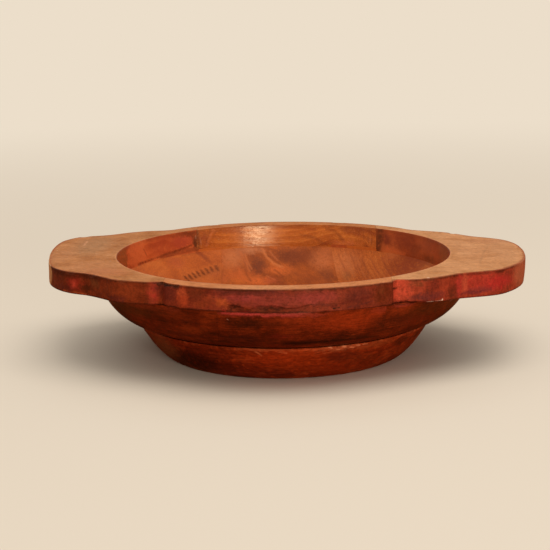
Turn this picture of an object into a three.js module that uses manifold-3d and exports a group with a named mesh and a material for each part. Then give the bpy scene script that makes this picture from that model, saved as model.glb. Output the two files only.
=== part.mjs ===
// Round wooden fruit bowl with two ear handles. It is glued up from flat
// boards in three layers (base, wall, rim), turned inside and outside, and its
// rim layer is sawn by hand to the outline of the ears.
// Millimetres, +Z up, ears along X, +Y at the back. The origin is the centre
// of the flat face under the base.
import * as THREE from 'three';
import { mergeVertices } from 'three/addons/utils/BufferGeometryUtils.js';
import Module from 'manifold-3d';

const wasm = await Module();
wasm.setup();

// Layers, from the table up
const HEIGHT = 84.2;
const RIM_BOARD = 17.9;
const STEP_HEIGHT = 30.3;
const GLUE_LINE = 0.3;
const RIM_JOINT_HEIGHT = HEIGHT - RIM_BOARD;

// Outside, as radii
const RIM_RADIUS = 157;
const WALL_FOOT_RADIUS = 119.8;
const BASE_TOP_RADIUS = 124.7;
const BASE_FOOT_RADIUS = 99.7;

// Inside, as radii: a band that is almost upright, a crease, and the dish
const MOUTH_RADIUS = 140;
const CREASE_RADIUS = 137.6;
const CREASE_HEIGHT = 63.6;
const FLOOR_HEIGHT = 14;
const DISH_SHOULDER_RADIUS = 84;

// Control points that give the two outer curves their belly
const WALL_BELLY = new THREE.Vector2(147.3, 35.3);
const BASE_BELLY = new THREE.Vector2(110.2, 4.6);

// The ear boards aren't planed true. The left one thins on its underside, from
// the edge of the round body to the tip. The right one thickens on its
// underside, and the wall under it is planed down to match.
const LEFT_TIP_THICKNESS = 16.4;
const LEFT_TAPER_START = 158;
const RIGHT_EAR_THICKNESS = 20.4;
const RIGHT_TAPER_START = 102;
const RIGHT_TAPER_END = 157;

// Ears. Each quarter is sawn by eye, so each has its own few points. They run
// from the tip to the neck: distance from the middle along the ear, and half
// width there.
const RIGHT_TIP = [203.4, 0];
const LEFT_TIP = [-199.3, 0];
const RIGHT_BACK = [[202.5, 17], [199.5, 37.5], [190, 56.5], [177, 66.5], [165, 73], [153, 85], [141, 95.5],
  [128, 101.5], [111, 109], [99, 121.5]];
const LEFT_BACK = [[201.2, 30], [199.5, 53], [193, 67.5], [184, 76], [172, 79.5], [161, 85.5], [148, 96],
  [132, 104.5], [112, 109.5], [102, 118]];
const LEFT_FRONT = [[194.4, 30], [188.2, 56.5], [180, 73.5], [167, 87.5], [151, 95.5], [137, 107], [122, 121],
  [105, 127]];
const RIGHT_FRONT = [[199.5, 40], [190, 61], [176, 80.5], [158, 89.5], [145, 95.5], [132, 106.5], [118, 116],
  [102, 120.5]];

// The round stretches of the outline lie between these angles from the X axis
const ROUND_FROM = 57;
const ROUND_TO = 123;
const ROUND_STRETCH_POINTS = 12;

// Saw lines between boards: x where the line meets the middle of the bowl, and
// how far it drifts in x for each millimetre towards the back
const RIM_LEFT_CUT = { x: -85.5, drift: -0.012 };
const RIM_RIGHT_CUT = { x: 85.3, drift: -0.049 };
const WALL_LEFT_CUT = { x: -53.8, drift: -0.092 };
const WALL_RIGHT_CUT = { x: 62.4, drift: -0.189 };
const BASE_FRONT_CUT = -41;
const BASE_BACK_CUT = 42;

// Fineness of the facets
const ROUND_FACETS = 96;
const OUTLINE_FACETS = 200;
const CURVE_STEPS = 7;
const DISH_STEPS = 9;

// Half the side of a square that is larger than the bowl, and room above it
const BEYOND = 260;
const CLEARANCE = 10;

// A closed geometry as a solid that can be cut
function toSolid(geometry) {
  geometry.deleteAttribute('normal');
  geometry.deleteAttribute('uv');
  const merged = mergeVertices(geometry);
  const corners = merged.index.array;
  const faces = [];
  for (let i = 0; i < corners.length; i += 3) {
    const [a, b, c] = [corners[i], corners[i + 1], corners[i + 2]];
    if (a !== b && b !== c && c !== a) faces.push(a, b, c);
  }
  return new wasm.Manifold(new wasm.Mesh({
    numProp: 3,
    vertProperties: new Float32Array(merged.attributes.position.array),
    triVerts: new Uint32Array(faces),
  }));
}

// A solid as a named mesh
function toMesh(name, solid, material) {
  const cut = solid.getMesh();
  const geometry = new THREE.BufferGeometry();
  geometry.setAttribute('position', new THREE.BufferAttribute(cut.vertProperties, 3));
  geometry.setIndex(new THREE.BufferAttribute(cut.triVerts, 1));
  geometry.computeVertexNormals();
  const mesh = new THREE.Mesh(geometry, material);
  mesh.name = name;
  return mesh;
}

// Points of a quadratic curve, both ends included
function curve(start, control, end, steps) {
  return new THREE.QuadraticBezierCurve(start, control, end).getPoints(steps);
}

// A solid of revolution about Z, from a profile of radius and height
function turned(profile) {
  const geometry = new THREE.LatheGeometry(profile, ROUND_FACETS);
  geometry.rotateX(Math.PI / 2);
  return toSolid(geometry);
}

// A plan outline as an upright solid between two heights
function sawn(points, bottom, top) {
  const geometry = new THREE.ExtrudeGeometry(new THREE.Shape(points), {
    depth: top - bottom,
    bevelEnabled: false,
  });
  geometry.translate(0, 0, bottom);
  return toSolid(geometry);
}

// Plan outline of the rim layer: two ears, two round stretches, one smooth line
function rimOutline() {
  const quarter = (points, sideX, sideY) =>
    points.map(([along, half]) => new THREE.Vector3(sideX * along, sideY * half, 0));
  const round = (from, to) => {
    const stretch = [];
    for (let i = 0; i <= ROUND_STRETCH_POINTS; i += 1) {
      const angle = THREE.MathUtils.degToRad(THREE.MathUtils.lerp(from, to, i / ROUND_STRETCH_POINTS));
      stretch.push(new THREE.Vector3(RIM_RADIUS * Math.cos(angle), RIM_RADIUS * Math.sin(angle), 0));
    }
    return stretch;
  };
  const points = [
    new THREE.Vector3(...RIGHT_TIP),
    ...quarter(RIGHT_BACK, 1, 1),
    ...round(ROUND_FROM, ROUND_TO),
    ...quarter(LEFT_BACK, -1, 1).reverse(),
    new THREE.Vector3(...LEFT_TIP),
    ...quarter(LEFT_FRONT, -1, -1),
    ...round(360 - ROUND_TO, 360 - ROUND_FROM),
    ...quarter(RIGHT_FRONT, 1, -1).reverse(),
  ];
  const outline = new THREE.CatmullRomCurve3(points, true, 'centripetal').getSpacedPoints(OUTLINE_FACETS);
  return outline.slice(0, -1).map((point) => new THREE.Vector2(point.x, point.y));
}

// The space inside the bowl, carried on above the rim
function hollow() {
  const crease = new THREE.Vector2(CREASE_RADIUS, CREASE_HEIGHT);
  const dish = curve(
    new THREE.Vector2(0, FLOOR_HEIGHT),
    new THREE.Vector2(DISH_SHOULDER_RADIUS, FLOOR_HEIGHT),
    crease,
    DISH_STEPS,
  );
  return turned([
    ...dish,
    new THREE.Vector2(MOUTH_RADIUS, HEIGHT),
    new THREE.Vector2(MOUTH_RADIUS, HEIGHT + CLEARANCE),
    new THREE.Vector2(0, HEIGHT + CLEARANCE),
  ]);
}

// Everything below the joint under the rim layer, moved up or down by half a
// glue line: level under the round body, rising under the left ear, and stepping
// down in a shallow slope to the full thickness of the right ear board
function belowRim(shift) {
  const level = RIM_JOINT_HEIGHT + shift;
  const rightLevel = HEIGHT - RIGHT_EAR_THICKNESS + shift;
  const leftSlope = (HEIGHT - LEFT_TIP_THICKNESS - level) / (-LEFT_TIP[0] - LEFT_TAPER_START);
  const side = new THREE.Shape([
    new THREE.Vector2(-BEYOND, 0),
    new THREE.Vector2(BEYOND, 0),
    new THREE.Vector2(BEYOND, rightLevel),
    new THREE.Vector2(RIGHT_TAPER_END, rightLevel),
    new THREE.Vector2(RIGHT_TAPER_START, level),
    new THREE.Vector2(-LEFT_TAPER_START, level),
    new THREE.Vector2(-BEYOND, level + leftSlope * (BEYOND - LEFT_TAPER_START)),
  ]);
  const geometry = new THREE.ExtrudeGeometry(side, { depth: 2 * BEYOND, bevelEnabled: false });
  geometry.rotateX(Math.PI / 2);
  geometry.translate(0, BEYOND, 0);
  return toSolid(geometry);
}

// The rim layer in one piece, before the saw cuts
function rimLayer(inside) {
  return sawn(rimOutline(), STEP_HEIGHT, HEIGHT).subtract(inside).subtract(belowRim(GLUE_LINE / 2));
}

// The wall layer: a belly that runs from the rim in to the step. Its top is
// planed to the underside of the rim layer.
function wallLayer(inside) {
  const bottom = STEP_HEIGHT + GLUE_LINE / 2;
  const top = RIM_JOINT_HEIGHT - GLUE_LINE / 2;
  const belly = curve(
    new THREE.Vector2(WALL_FOOT_RADIUS, bottom),
    WALL_BELLY,
    new THREE.Vector2(RIM_RADIUS, top),
    CURVE_STEPS,
  );
  return turned([new THREE.Vector2(0, bottom), ...belly, new THREE.Vector2(0, top)])
    .subtract(inside)
    .intersect(belowRim(-GLUE_LINE / 2));
}

// The base layer: a shallow dish that stands on its flat underside
function baseLayer(inside) {
  const top = STEP_HEIGHT - GLUE_LINE / 2;
  const belly = curve(
    new THREE.Vector2(BASE_FOOT_RADIUS, 0),
    BASE_BELLY,
    new THREE.Vector2(BASE_TOP_RADIUS, top),
    CURVE_STEPS,
  );
  return turned([new THREE.Vector2(0, 0), ...belly, new THREE.Vector2(0, top)]).subtract(inside);
}

// An upright block that keeps one board: its plan, from four corners
function block(corners) {
  return sawn(corners.map(([x, y]) => new THREE.Vector2(x, y)), -CLEARANCE, HEIGHT + CLEARANCE);
}

// Where a saw line stands at a given y, moved aside by half a glue line
function cutAt(cut, y, side) {
  return cut.x + cut.drift * y + side * GLUE_LINE / 2;
}

// Left board, right board, and the front and back boards between two saw lines
function ringBlocks(leftCut, rightCut) {
  const gap = GLUE_LINE / 2;
  return {
    left: block([
      [-BEYOND, -BEYOND],
      [cutAt(leftCut, -BEYOND, -1), -BEYOND],
      [cutAt(leftCut, BEYOND, -1), BEYOND],
      [-BEYOND, BEYOND],
    ]),
    right: block([
      [cutAt(rightCut, -BEYOND, 1), -BEYOND],
      [BEYOND, -BEYOND],
      [BEYOND, BEYOND],
      [cutAt(rightCut, BEYOND, 1), BEYOND],
    ]),
    back: block([
      [cutAt(leftCut, gap, 1), gap],
      [cutAt(rightCut, gap, -1), gap],
      [cutAt(rightCut, BEYOND, -1), BEYOND],
      [cutAt(leftCut, BEYOND, 1), BEYOND],
    ]),
    front: block([
      [cutAt(leftCut, -BEYOND, 1), -BEYOND],
      [cutAt(rightCut, -BEYOND, -1), -BEYOND],
      [cutAt(rightCut, -gap, -1), -gap],
      [cutAt(leftCut, -gap, 1), -gap],
    ]),
  };
}

// A board that runs along X between two values of y
function baseBlock(front, back) {
  return block([[-BEYOND, front], [BEYOND, front], [BEYOND, back], [-BEYOND, back]]);
}

// Stained and varnished wood, lighter on the sawn tops of the rim
function wood(color, roughness) {
  return new THREE.MeshStandardMaterial({ color, roughness, metalness: 0 });
}
const earWood = wood(0xa97a55, 0.62);
const rimWood = wood(0xa5653c, 0.55);
const wallWood = wood(0x7a2c14, 0.42);
const baseWood = wood(0x8c3a18, 0.38);

const inside = hollow();
const rim = rimLayer(inside);
const wall = wallLayer(inside);
const base = baseLayer(inside);
const rimBlocks = ringBlocks(RIM_LEFT_CUT, RIM_RIGHT_CUT);
const wallBlocks = ringBlocks(WALL_LEFT_CUT, WALL_RIGHT_CUT);
const halfLine = GLUE_LINE / 2;

const bowl = new THREE.Group();
bowl.add(
  toMesh('left_ear_board', rim.intersect(rimBlocks.left), earWood),
  toMesh('right_ear_board', rim.intersect(rimBlocks.right), earWood),
  toMesh('back_rim_board', rim.intersect(rimBlocks.back), rimWood),
  toMesh('front_rim_board', rim.intersect(rimBlocks.front), rimWood),
  toMesh('left_wall_board', wall.intersect(wallBlocks.left), wallWood),
  toMesh('right_wall_board', wall.intersect(wallBlocks.right), wallWood),
  toMesh('back_wall_board', wall.intersect(wallBlocks.back), wallWood),
  toMesh('front_wall_board', wall.intersect(wallBlocks.front), wallWood),
  toMesh('front_base_board', base.intersect(baseBlock(-BEYOND, BASE_FRONT_CUT - halfLine)), baseWood),
  toMesh(
    'middle_base_board',
    base.intersect(baseBlock(BASE_FRONT_CUT + halfLine, BASE_BACK_CUT - halfLine)),
    baseWood,
  ),
  toMesh('back_base_board', base.intersect(baseBlock(BASE_BACK_CUT + halfLine, BEYOND)), baseWood),
);

export default bowl;
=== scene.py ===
"""Looks of a wooden fruit bowl: boards glued up in three layers, turned, sawn by hand and stained.

Every board of the frame is made again here as a fine, worn mesh, in zones that each have their own
procedural wood. Meshes are in metres and in the frame's axes: ears along X, +Y at the back, +Z up.
Places in a material are millimetres in the same axes.
"""
import math
from collections import namedtuple

import bmesh
import bpy
import numpy as np
from mathutils import Matrix, Vector, noise


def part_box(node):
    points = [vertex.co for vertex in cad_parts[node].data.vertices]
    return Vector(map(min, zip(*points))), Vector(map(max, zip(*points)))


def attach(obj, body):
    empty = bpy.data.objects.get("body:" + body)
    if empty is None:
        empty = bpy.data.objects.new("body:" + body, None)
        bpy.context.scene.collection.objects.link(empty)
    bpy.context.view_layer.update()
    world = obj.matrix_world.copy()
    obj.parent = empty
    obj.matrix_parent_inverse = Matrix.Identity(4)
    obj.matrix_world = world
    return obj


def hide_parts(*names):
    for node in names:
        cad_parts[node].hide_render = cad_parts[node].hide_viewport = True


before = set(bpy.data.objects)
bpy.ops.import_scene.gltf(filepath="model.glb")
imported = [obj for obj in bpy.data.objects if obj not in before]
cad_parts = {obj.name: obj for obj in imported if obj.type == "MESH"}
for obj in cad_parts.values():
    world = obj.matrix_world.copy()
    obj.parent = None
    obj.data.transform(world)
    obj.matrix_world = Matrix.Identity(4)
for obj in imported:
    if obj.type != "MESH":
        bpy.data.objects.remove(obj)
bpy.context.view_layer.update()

MM = 0.001

# Driving dimensions, the same as those of the solids
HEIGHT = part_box("front_rim_board")[1].z
RIM_JOINT = 66.3 * MM
STEP = 30.3 * MM
RIM_RADIUS = 157 * MM
MOUTH_RADIUS = 140 * MM
CREASE = (137.6 * MM, 63.6 * MM)
FLOOR = 14 * MM
DISH_SHOULDER = 84 * MM
WALL_FOOT_RADIUS = 119.8 * MM
WALL_BELLY = (147.3 * MM, 35.3 * MM)
BASE_TOP_RADIUS = 124.7 * MM
BASE_BELLY = (110.2 * MM, 4.6 * MM)
BASE_FOOT_RADIUS = 99.7 * MM

# The left ear thins to its tip, the right ear board thickens between two places along X
LEFT_REACH, LEFT_TIP_THICKNESS, LEFT_TAPER_START = 199.3 * MM, 16.4 * MM, 158 * MM
RIGHT_EAR_THICKNESS, RIGHT_TAPER_START, RIGHT_TAPER_END = 20.4 * MM, 94 * MM, 154 * MM

# The rim was sawn a little to the left of the turned body's middle
BODY_OFFSET = 0.9 * MM

# Half of what shows between two boards side by side, and between two layers
RIM_SEAM = 0.08 * MM
WALL_SEAM = 0.03 * MM
LAYER_SEAM = 0.02 * MM

# Saw lines: x at the middle of the bowl, and drift in x towards the back
RIM_LEFT_CUT = (-85.5 * MM, -0.012)
RIM_RIGHT_CUT = (85.3 * MM, -0.049)
WALL_LEFT_CUT = (-53.8 * MM, -0.092)
WALL_RIGHT_CUT = (62.4 * MM, -0.189)
BASE_FRONT_CUT = -41 * MM
BASE_BACK_CUT = 42 * MM

RIM_BOARDS = ("left_ear_board", "right_ear_board", "back_rim_board", "front_rim_board")
WALL_BOARDS = ("left_wall_board", "right_wall_board", "back_wall_board", "front_wall_board")

# Fineness of the meshes: stations round each layer, and strips of faces on each side of the rim's section
RIM_STATIONS, WALL_STATIONS, BASE_STATIONS = 1080, 540, 480
BAND_STRIPS, TOP_STRIPS, EDGE_STRIPS, UNDER_STRIPS = 16, 30, 38, 16
CORNER_TURNS = (22, 45, 68)
WALL_BELLY_STEPS, WALL_DISH_STEPS, BASE_BELLY_STEPS, BASE_DISH_STEPS = 40, 60, 34, 52
LOOKUP_STEPS = 96
OUTLINE_SAMPLES, OUTLINE_WAVES = 4096, 70
MERGE_DISTANCE = 1e-6
SHARP_ANGLE = math.radians(38)

# Wear of the rim: wobble and ripple of the saw, waves on top, and how far the mouth lies to the right
SAW_WOBBLE, SAW_RIPPLE, TOP_WAVE, MOUTH_SHIFT = 0.28 * MM, 0.1 * MM, 0.1 * MM, 0.55 * MM

# The slow wander and the quick ripple that turning left on the wall, dish and base
TURNING_WANDER, TURNING_RIPPLE = 0.2 * MM, 0.07 * MM

# The joint under the rim stands open at the front, round this place along X
GAP_PLACE = 108 * MM

# Zones of the rim layer, and of the two turned layers under it: each is a slot of the piece's materials
BAND, TOP, EDGE, UNDER, JOINT = range(5)
OUTSIDE, DISH, FOOT, HIDDEN, LIP = range(5)


def quadratic(start, control, end, steps):
    """Points of a quadratic curve of (radius, height), both ends included"""
    t = np.linspace(0, 1, steps + 1)[:, None]
    start, control, end = (np.array(p, float) for p in (start, control, end))
    return (1 - t) ** 2 * start + 2 * t * (1 - t) * control + t * t * end


def rim_outline(angles):
    """Plan radius of the rim's sawn edge at each angle, read off the frame's boards and smoothed"""
    found = []
    for name in RIM_BOARDS:
        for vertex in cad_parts[name].data.vertices:
            radius = math.hypot(vertex.co.x, vertex.co.y)
            if vertex.co.z > HEIGHT - 0.1 * MM and radius > MOUTH_RADIUS + 5 * MM:
                found.append((math.atan2(vertex.co.y, vertex.co.x) % math.tau, radius))
    found = np.array(sorted(found))
    dense = np.linspace(0, math.tau, OUTLINE_SAMPLES, endpoint=False)
    waves = np.fft.rfft(np.interp(dense, found[:, 0], found[:, 1], period=math.tau))
    waves *= np.exp(-(np.arange(len(waves)) / OUTLINE_WAVES) ** 4)
    return np.interp(angles, dense, np.fft.irfft(waves, len(dense)), period=math.tau)


def inner_radius(z):
    """Radius of the upright band inside the rim at height z"""
    slope = (MOUTH_RADIUS - CREASE[0]) / (HEIGHT - CREASE[1])
    return MOUTH_RADIUS - (HEIGHT - z) * slope


def ease(value, low, high):
    """0 below low, 1 above high, smooth between"""
    t = np.clip((value - low) / (high - low), 0, 1)
    return t * t * (3 - 2 * t)


def fractal(points, size, octaves=3, seed=0.0):
    """Noise of about -1 to 1 at each point of an array, with features of the given size"""
    offset = Vector((seed, seed * 1.7, -seed))
    flat = [noise.fractal(Vector(p) / size + offset, 1.0, 2.0, octaves) for p in points.reshape(-1, 3)]
    return np.array(flat).reshape(points.shape[:-1])


def grid_mesh(name, rows, zones, closed_section, facts):
    """A mesh from rows[station][stop], closed round the stations, with a zone for each strip of faces.
    Facts are values at the points that the materials read."""
    stations, stops, _ = rows.shape
    mesh = bpy.data.meshes.new(name)
    strips = stops if closed_section else stops - 1
    i, j = np.meshgrid(np.arange(stations), np.arange(strips), indexing="ij")
    i2, j2 = (i + 1) % stations, (j + 1) % stops
    quads = np.stack([i * stops + j, i2 * stops + j, i2 * stops + j2, i * stops + j2], -1).reshape(-1, 4)
    mesh.from_pydata(rows.reshape(-1, 3).tolist(), [], quads.tolist())
    mesh.polygons.foreach_set("material_index", np.tile(np.array(zones[:strips], np.int32), stations))
    for fact, values in facts.items():
        layer = mesh.attributes.new(fact, "FLOAT", "POINT")
        layer.data.foreach_set("value", np.broadcast_to(values, (stations, stops)).ravel().astype(np.float32))
    mesh.update()
    return mesh


def joint_height(x, shift):
    """Height at x of the joint under the rim layer, moved up or down by half its seam"""
    level = RIM_JOINT + shift
    left = (HEIGHT - LEFT_TIP_THICKNESS - level) / (LEFT_REACH - LEFT_TAPER_START)
    drop = (RIM_JOINT - HEIGHT + RIGHT_EAR_THICKNESS) * ease(x, RIGHT_TAPER_START, RIGHT_TAPER_END)
    return level + left * np.maximum(-x - LEFT_TAPER_START, 0) - drop


def rim_section():
    """Stops round the rim's section: share of the way out, offset in radius, height share, zone after it"""
    round_in, round_out = 0.5 * MM, 0.9 * MM
    thickness = HEIGHT - RIM_JOINT
    top_in, top_out = 1 - round_in / thickness, 1 - round_out / thickness
    stops = [(0.0, 0.0, share, BAND) for share in np.linspace(0, top_in, BAND_STRIPS)]
    for turn in CORNER_TURNS:
        angle = math.radians(turn)
        rise = top_in + round_in / thickness * math.sin(angle)
        stops.append((0.0, round_in * (1 - math.cos(angle)), rise, BAND))
    for along in np.linspace(0, 1, TOP_STRIPS):
        stops.append((along, round_in * (1 - along) - round_out * along, 1.0, TOP))
    for turn in reversed(CORNER_TURNS):
        angle = math.radians(turn)
        rise = top_out + round_out / thickness * math.sin(angle)
        stops.append((1.0, round_out * (math.cos(angle) - 1), rise, EDGE))
    stops += [(1.0, 0.0, share, EDGE) for share in np.linspace(top_out, 0.03, EDGE_STRIPS)]
    stops.append((1.0, -0.12 * MM, 0.008, UNDER))
    stops += [(along, -0.7 * MM * along, 0.0, UNDER) for along in np.linspace(0.995, 0.01, UNDER_STRIPS)]
    return stops


# Bites out of the rim's upper outer edge: plan angle in degrees, then length, depth and drop in mm
CHIPS = (
    (235.6, 2.6, 0.7, 0.7), (237.0, 3.0, 1.6, 2.0), (238.6, 2.4, 1.3, 1.7), (240.4, 3.6, 1.9, 2.6),
    (242.2, 3.0, 2.2, 3.0), (226.5, 3.0, 0.8, 0.9), (208.5, 5.0, 0.7, 0.8), (214.5, 3.0, 0.6, 0.6),
    (256.0, 4.0, 0.5, 0.5), (281.0, 3.0, 0.5, 0.5), (300.5, 1.4, 0.9, 0.8), (302.0, 1.2, 0.6, 0.6),
    (315.3, 2.0, 0.7, 0.7), (317.0, 1.6, 0.8, 0.7), (333.0, 4.0, 0.6, 0.7), (31.0, 3.0, 0.8, 0.8),
    (74.0, 5.0, 0.7, 0.6), (118.0, 4.0, 0.9, 0.8), (158.0, 3.0, 0.8, 0.7),
)

# Upper border of the flake torn off the lower edge of the front rim board: x and height in mm
FLAKE_CREST = (
    (-33, 66.5), (-31, 72.2), (-27, 71.9), (-22, 70.8), (-15, 69.0), (-11, 70.6), (-9, 71.8), (2, 72.0),
    (8, 71.2), (12, 69.9), (20, 70.1), (26, 71.7), (31, 72.6), (38, 66.5),
)

# How deep the flake goes: x and depth in mm
FLAKE_DEPTHS = (
    (-31, 1.3), (-26, 1.1), (-18, 0.6), (-12, 0.8), (-4, 1.4), (8, 1.2), (14, 0.6), (22, 0.4), (34, 0),
)


def rim_mesh():
    """The whole rim layer, worn, before it is cut into boards"""
    angles = np.linspace(0, math.tau, RIM_STATIONS, endpoint=False)
    outer = rim_outline(angles)
    stops = rim_section()
    along, offset, share = (np.array([stop[k] for stop in stops]) for k in range(3))
    zones = np.array([stop[3] for stop in stops])
    cosines, sines = np.cos(angles)[:, None], np.sin(angles)[:, None]
    plain_height = RIM_JOINT + share * (HEIGHT - RIM_JOINT)
    radius = inner_radius(plain_height) * (1 - along) + outer[:, None] * along + offset
    x, y = radius * cosines, radius * sines
    low = joint_height(x, LAYER_SEAM)
    z = low + share * (HEIGHT - low)
    width = outer[:, None] - MOUTH_RADIUS
    to_outer = np.where(zones == EDGE, HEIGHT - z, (1 - along) * width)
    to_inner = np.where(zones == BAND, HEIGHT - z, along * width)
    rows = np.stack([x, y, z], -1)
    torn = wear_rim(rows, along, share, zones, angles, outer)
    facts = {"to_outer": to_outer / MM, "to_inner": to_inner / MM, "to_under": (z - low) / MM, "torn": torn}
    return grid_mesh("rim_layer", rows, zones.tolist(), True, facts)


def wear_rim(rows, along, share, zones, angles, outer):
    """Hand-sawn wobble, eased edges, chips and the torn flake, as moves of the rim's points.
    Gives back how far each point lies in torn wood."""
    outward = np.stack([np.cos(angles), np.sin(angles)], -1)[:, None, :]
    # Noises with their own stretch along Z, size, octaves and seed
    wobble = fractal(rows * np.array([1, 1, 0.35]), 26 * MM, 3, 3.1)
    ripple = fractal(rows * np.array([1, 1, 0.2]), 5 * MM, 2, 9.4)
    hump = fractal(rows * np.array([1, 1, 0]), 45 * MM, 2, 5.7)
    # The mouth lies a touch to the right of the outline's middle
    lean = (1 - ease(along, 0.0, 0.4)) * share * MOUTH_SHIFT
    rows[..., 0] += lean
    rows[..., :2] += outward * lean[None, :, None]
    sawn = ease(along, 0.9, 1.0)
    # The tips' faces lean: the left one out and the right one in towards the bottom
    x = rows[..., 0]
    left_lean = 0.9 * MM * (1 - ease(x, -199 * MM, -188 * MM))
    right_lean = 1.3 * MM * (1 - share) * ease(x, 188 * MM, 201 * MM)
    rows[..., 0] -= sawn * (1 - share) * (left_lean + right_lean)
    rows[..., :2] += outward * (sawn * (SAW_WOBBLE * wobble + SAW_RIPPLE * ripple))[..., None]
    rows[..., 2] -= (share > 0.999) * TOP_WAVE * (1 + hump)
    torn = np.zeros(rows.shape[:2])
    edge_reach = ease(share, 0.84, 0.97) * ease(along, 0.94, 1.0)
    for degrees, length, depth, drop in CHIPS:
        distance = (angles - math.radians(degrees) + math.pi) % math.tau - math.pi
        spread = np.exp(-(distance * outer / (length * MM)) ** 4)[:, None]
        bite = spread * np.clip(0.75 + 0.6 * ripple, 0, 1.3)
        rows[..., :2] -= outward * (bite * edge_reach * depth * MM)[..., None]
        rows[..., 2] -= bite * ease(along, 0.96, 1.0) * (share > 0.9) * drop * MM * 0.5
        torn = np.maximum(torn, bite * edge_reach)
    crest_x, crest_z = np.array(FLAKE_CREST).T * MM
    x, y, z = rows[..., 0], rows[..., 1], rows[..., 2]
    crest = np.interp(x, crest_x, crest_z) + 0.3 * MM * ripple
    front = (y < 0) & (zones == EDGE) & (x > crest_x[0]) & (x < crest_x[-1])
    under = front * (1 - ease(z, crest - 0.45 * MM, crest + 0.1 * MM))
    deep = np.interp(x / MM, *np.array(FLAKE_DEPTHS).T)
    rows[..., :2] -= outward * (under * deep * MM)[..., None]
    torn = np.maximum(torn, under * np.clip(deep, 0, 1) * 0.35)
    # A gap opens over the wall at the front right
    above = z - joint_height(x, LAYER_SEAM)
    gap = np.exp(-((x - GAP_PLACE) / (11 * MM)) ** 4) * (y < 0) * (1 - ease(above, 0.5 * MM, 1.3 * MM))
    rows[..., :2] -= outward * (gap * (zones >= EDGE) * 1.6 * MM)[..., None]
    return torn


def turned_mesh(name, profile, zones, stations, closed_section, wear, settle=None):
    """A worn solid of revolution, before it is cut into boards"""
    angles = np.linspace(0, math.tau, stations, endpoint=False)
    radii, heights = np.array(profile).T
    cosines, sines = np.cos(angles)[:, None], np.sin(angles)[:, None]
    rows = np.stack([radii * cosines, radii * sines, np.broadcast_to(heights, (stations, len(radii)))], -1)
    wander = fractal(rows, 60 * MM, 2, 12.3)
    ripple = fractal(rows * np.array([1, 1, 3]), 14 * MM, 2, 4.4)
    zones_row = np.array(zones)
    rows[..., 0] += BODY_OFFSET * np.isin(zones_row, (OUTSIDE, FOOT))
    if settle:
        settle(rows, zones_row)
    worked = np.isin(zones_row, (OUTSIDE, DISH))
    swell = worked * (TURNING_WANDER * wander + TURNING_RIPPLE * ripple) + wear(rows, ripple)
    rows[..., 0] += swell * cosines
    rows[..., 1] += swell * sines
    return grid_mesh(name, rows, zones, closed_section, {})


def dish_curve(steps):
    """The inside of the bowl from the middle of the floor up to the crease"""
    return quadratic((0, FLOOR), (DISH_SHOULDER, FLOOR), CREASE, steps)


def dish_radius(z):
    """Radius of the dish at height z"""
    curve = dish_curve(LOOKUP_STEPS)
    return float(np.interp(z, curve[:, 1], curve[:, 0]))


def wall_wear(rows, ripple):
    """The wall's top edge is eased all round, more under the flake, and broken at the front right"""
    x, y, z = rows[..., 0], rows[..., 1], rows[..., 2]
    below = joint_height(x, 0) - z
    outside = np.hypot(x, y) > 148 * MM
    rounding = 0.12 * MM + 0.9 * MM * np.exp(-((x + 2 * MM) / (34 * MM)) ** 4) * (y < 0)
    eased = -rounding * np.clip(1 - below / (2.6 * MM), 0, 1) ** 2
    gap = np.exp(-((x - GAP_PLACE) / (12 * MM)) ** 4) * (y < 0)
    broken = -1.5 * MM * gap * np.clip(1 - below / (1.3 * MM), 0, 1) * (1 + 0.5 * ripple)
    return outside * (eased + broken)


def wall_settle(rows, zones):
    """The wall layer's top follows the joint under the right ear board, and its belly goes with it"""
    bottom, top = STEP + LAYER_SEAM, RIM_JOINT - LAYER_SEAM
    x, z = rows[..., 0], rows[..., 2]
    ceiling = joint_height(x, -LAYER_SEAM)
    pressed = bottom + (z - bottom) * (ceiling - bottom) / (top - bottom)
    rows[..., 2] = np.where(np.isin(zones, (DISH, LIP)), np.minimum(z, ceiling), np.minimum(pressed, top))


def wall_mesh():
    """The whole wall layer: belly outside, dish and crease inside"""
    bottom, top = STEP + LAYER_SEAM, RIM_JOINT - LAYER_SEAM
    belly = quadratic((WALL_FOOT_RADIUS, bottom), WALL_BELLY, (RIM_RADIUS, top), WALL_BELLY_STEPS)
    near_top = [belly[-2] + (belly[-1] - belly[-2]) * share for share in (0.25, 0.5, 0.7, 0.85, 0.95)]
    belly = np.concatenate([belly[:-1], near_top, belly[-1:]])
    dish = dish_curve(WALL_DISH_STEPS)
    dish = dish[dish[:, 1] > bottom + 0.4 * MM]
    profile = [tuple(p) for p in belly]
    zones = [OUTSIDE] * len(profile)
    profile += [(150 * MM, top), (144 * MM, top)]
    zones += [HIDDEN, HIDDEN]
    profile += [(inner_radius(z), z) for z in np.linspace(top, CREASE[1] + 0.8 * MM, 4)]
    profile += [tuple(p) for p in dish[::-1]]
    zones += [LIP] * 4 + [DISH] * len(dish)
    profile += [(dish_radius(bottom), bottom), (105 * MM, bottom), (113 * MM, bottom)]
    zones += [HIDDEN] * 3
    return turned_mesh("wall_layer", profile, zones, WALL_STATIONS, True, wall_wear, wall_settle)


def base_wear(rows, ripple):
    """The corner of the ledge is rubbed round"""
    radius, z = np.hypot(rows[..., 0], rows[..., 1]), rows[..., 2]
    near = np.clip(1 - (STEP - z) / (1.6 * MM), 0, 1) * ease(radius, 121 * MM, 124 * MM)
    return -near ** 2 * (0.7 + 0.4 * ripple) * MM


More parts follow.
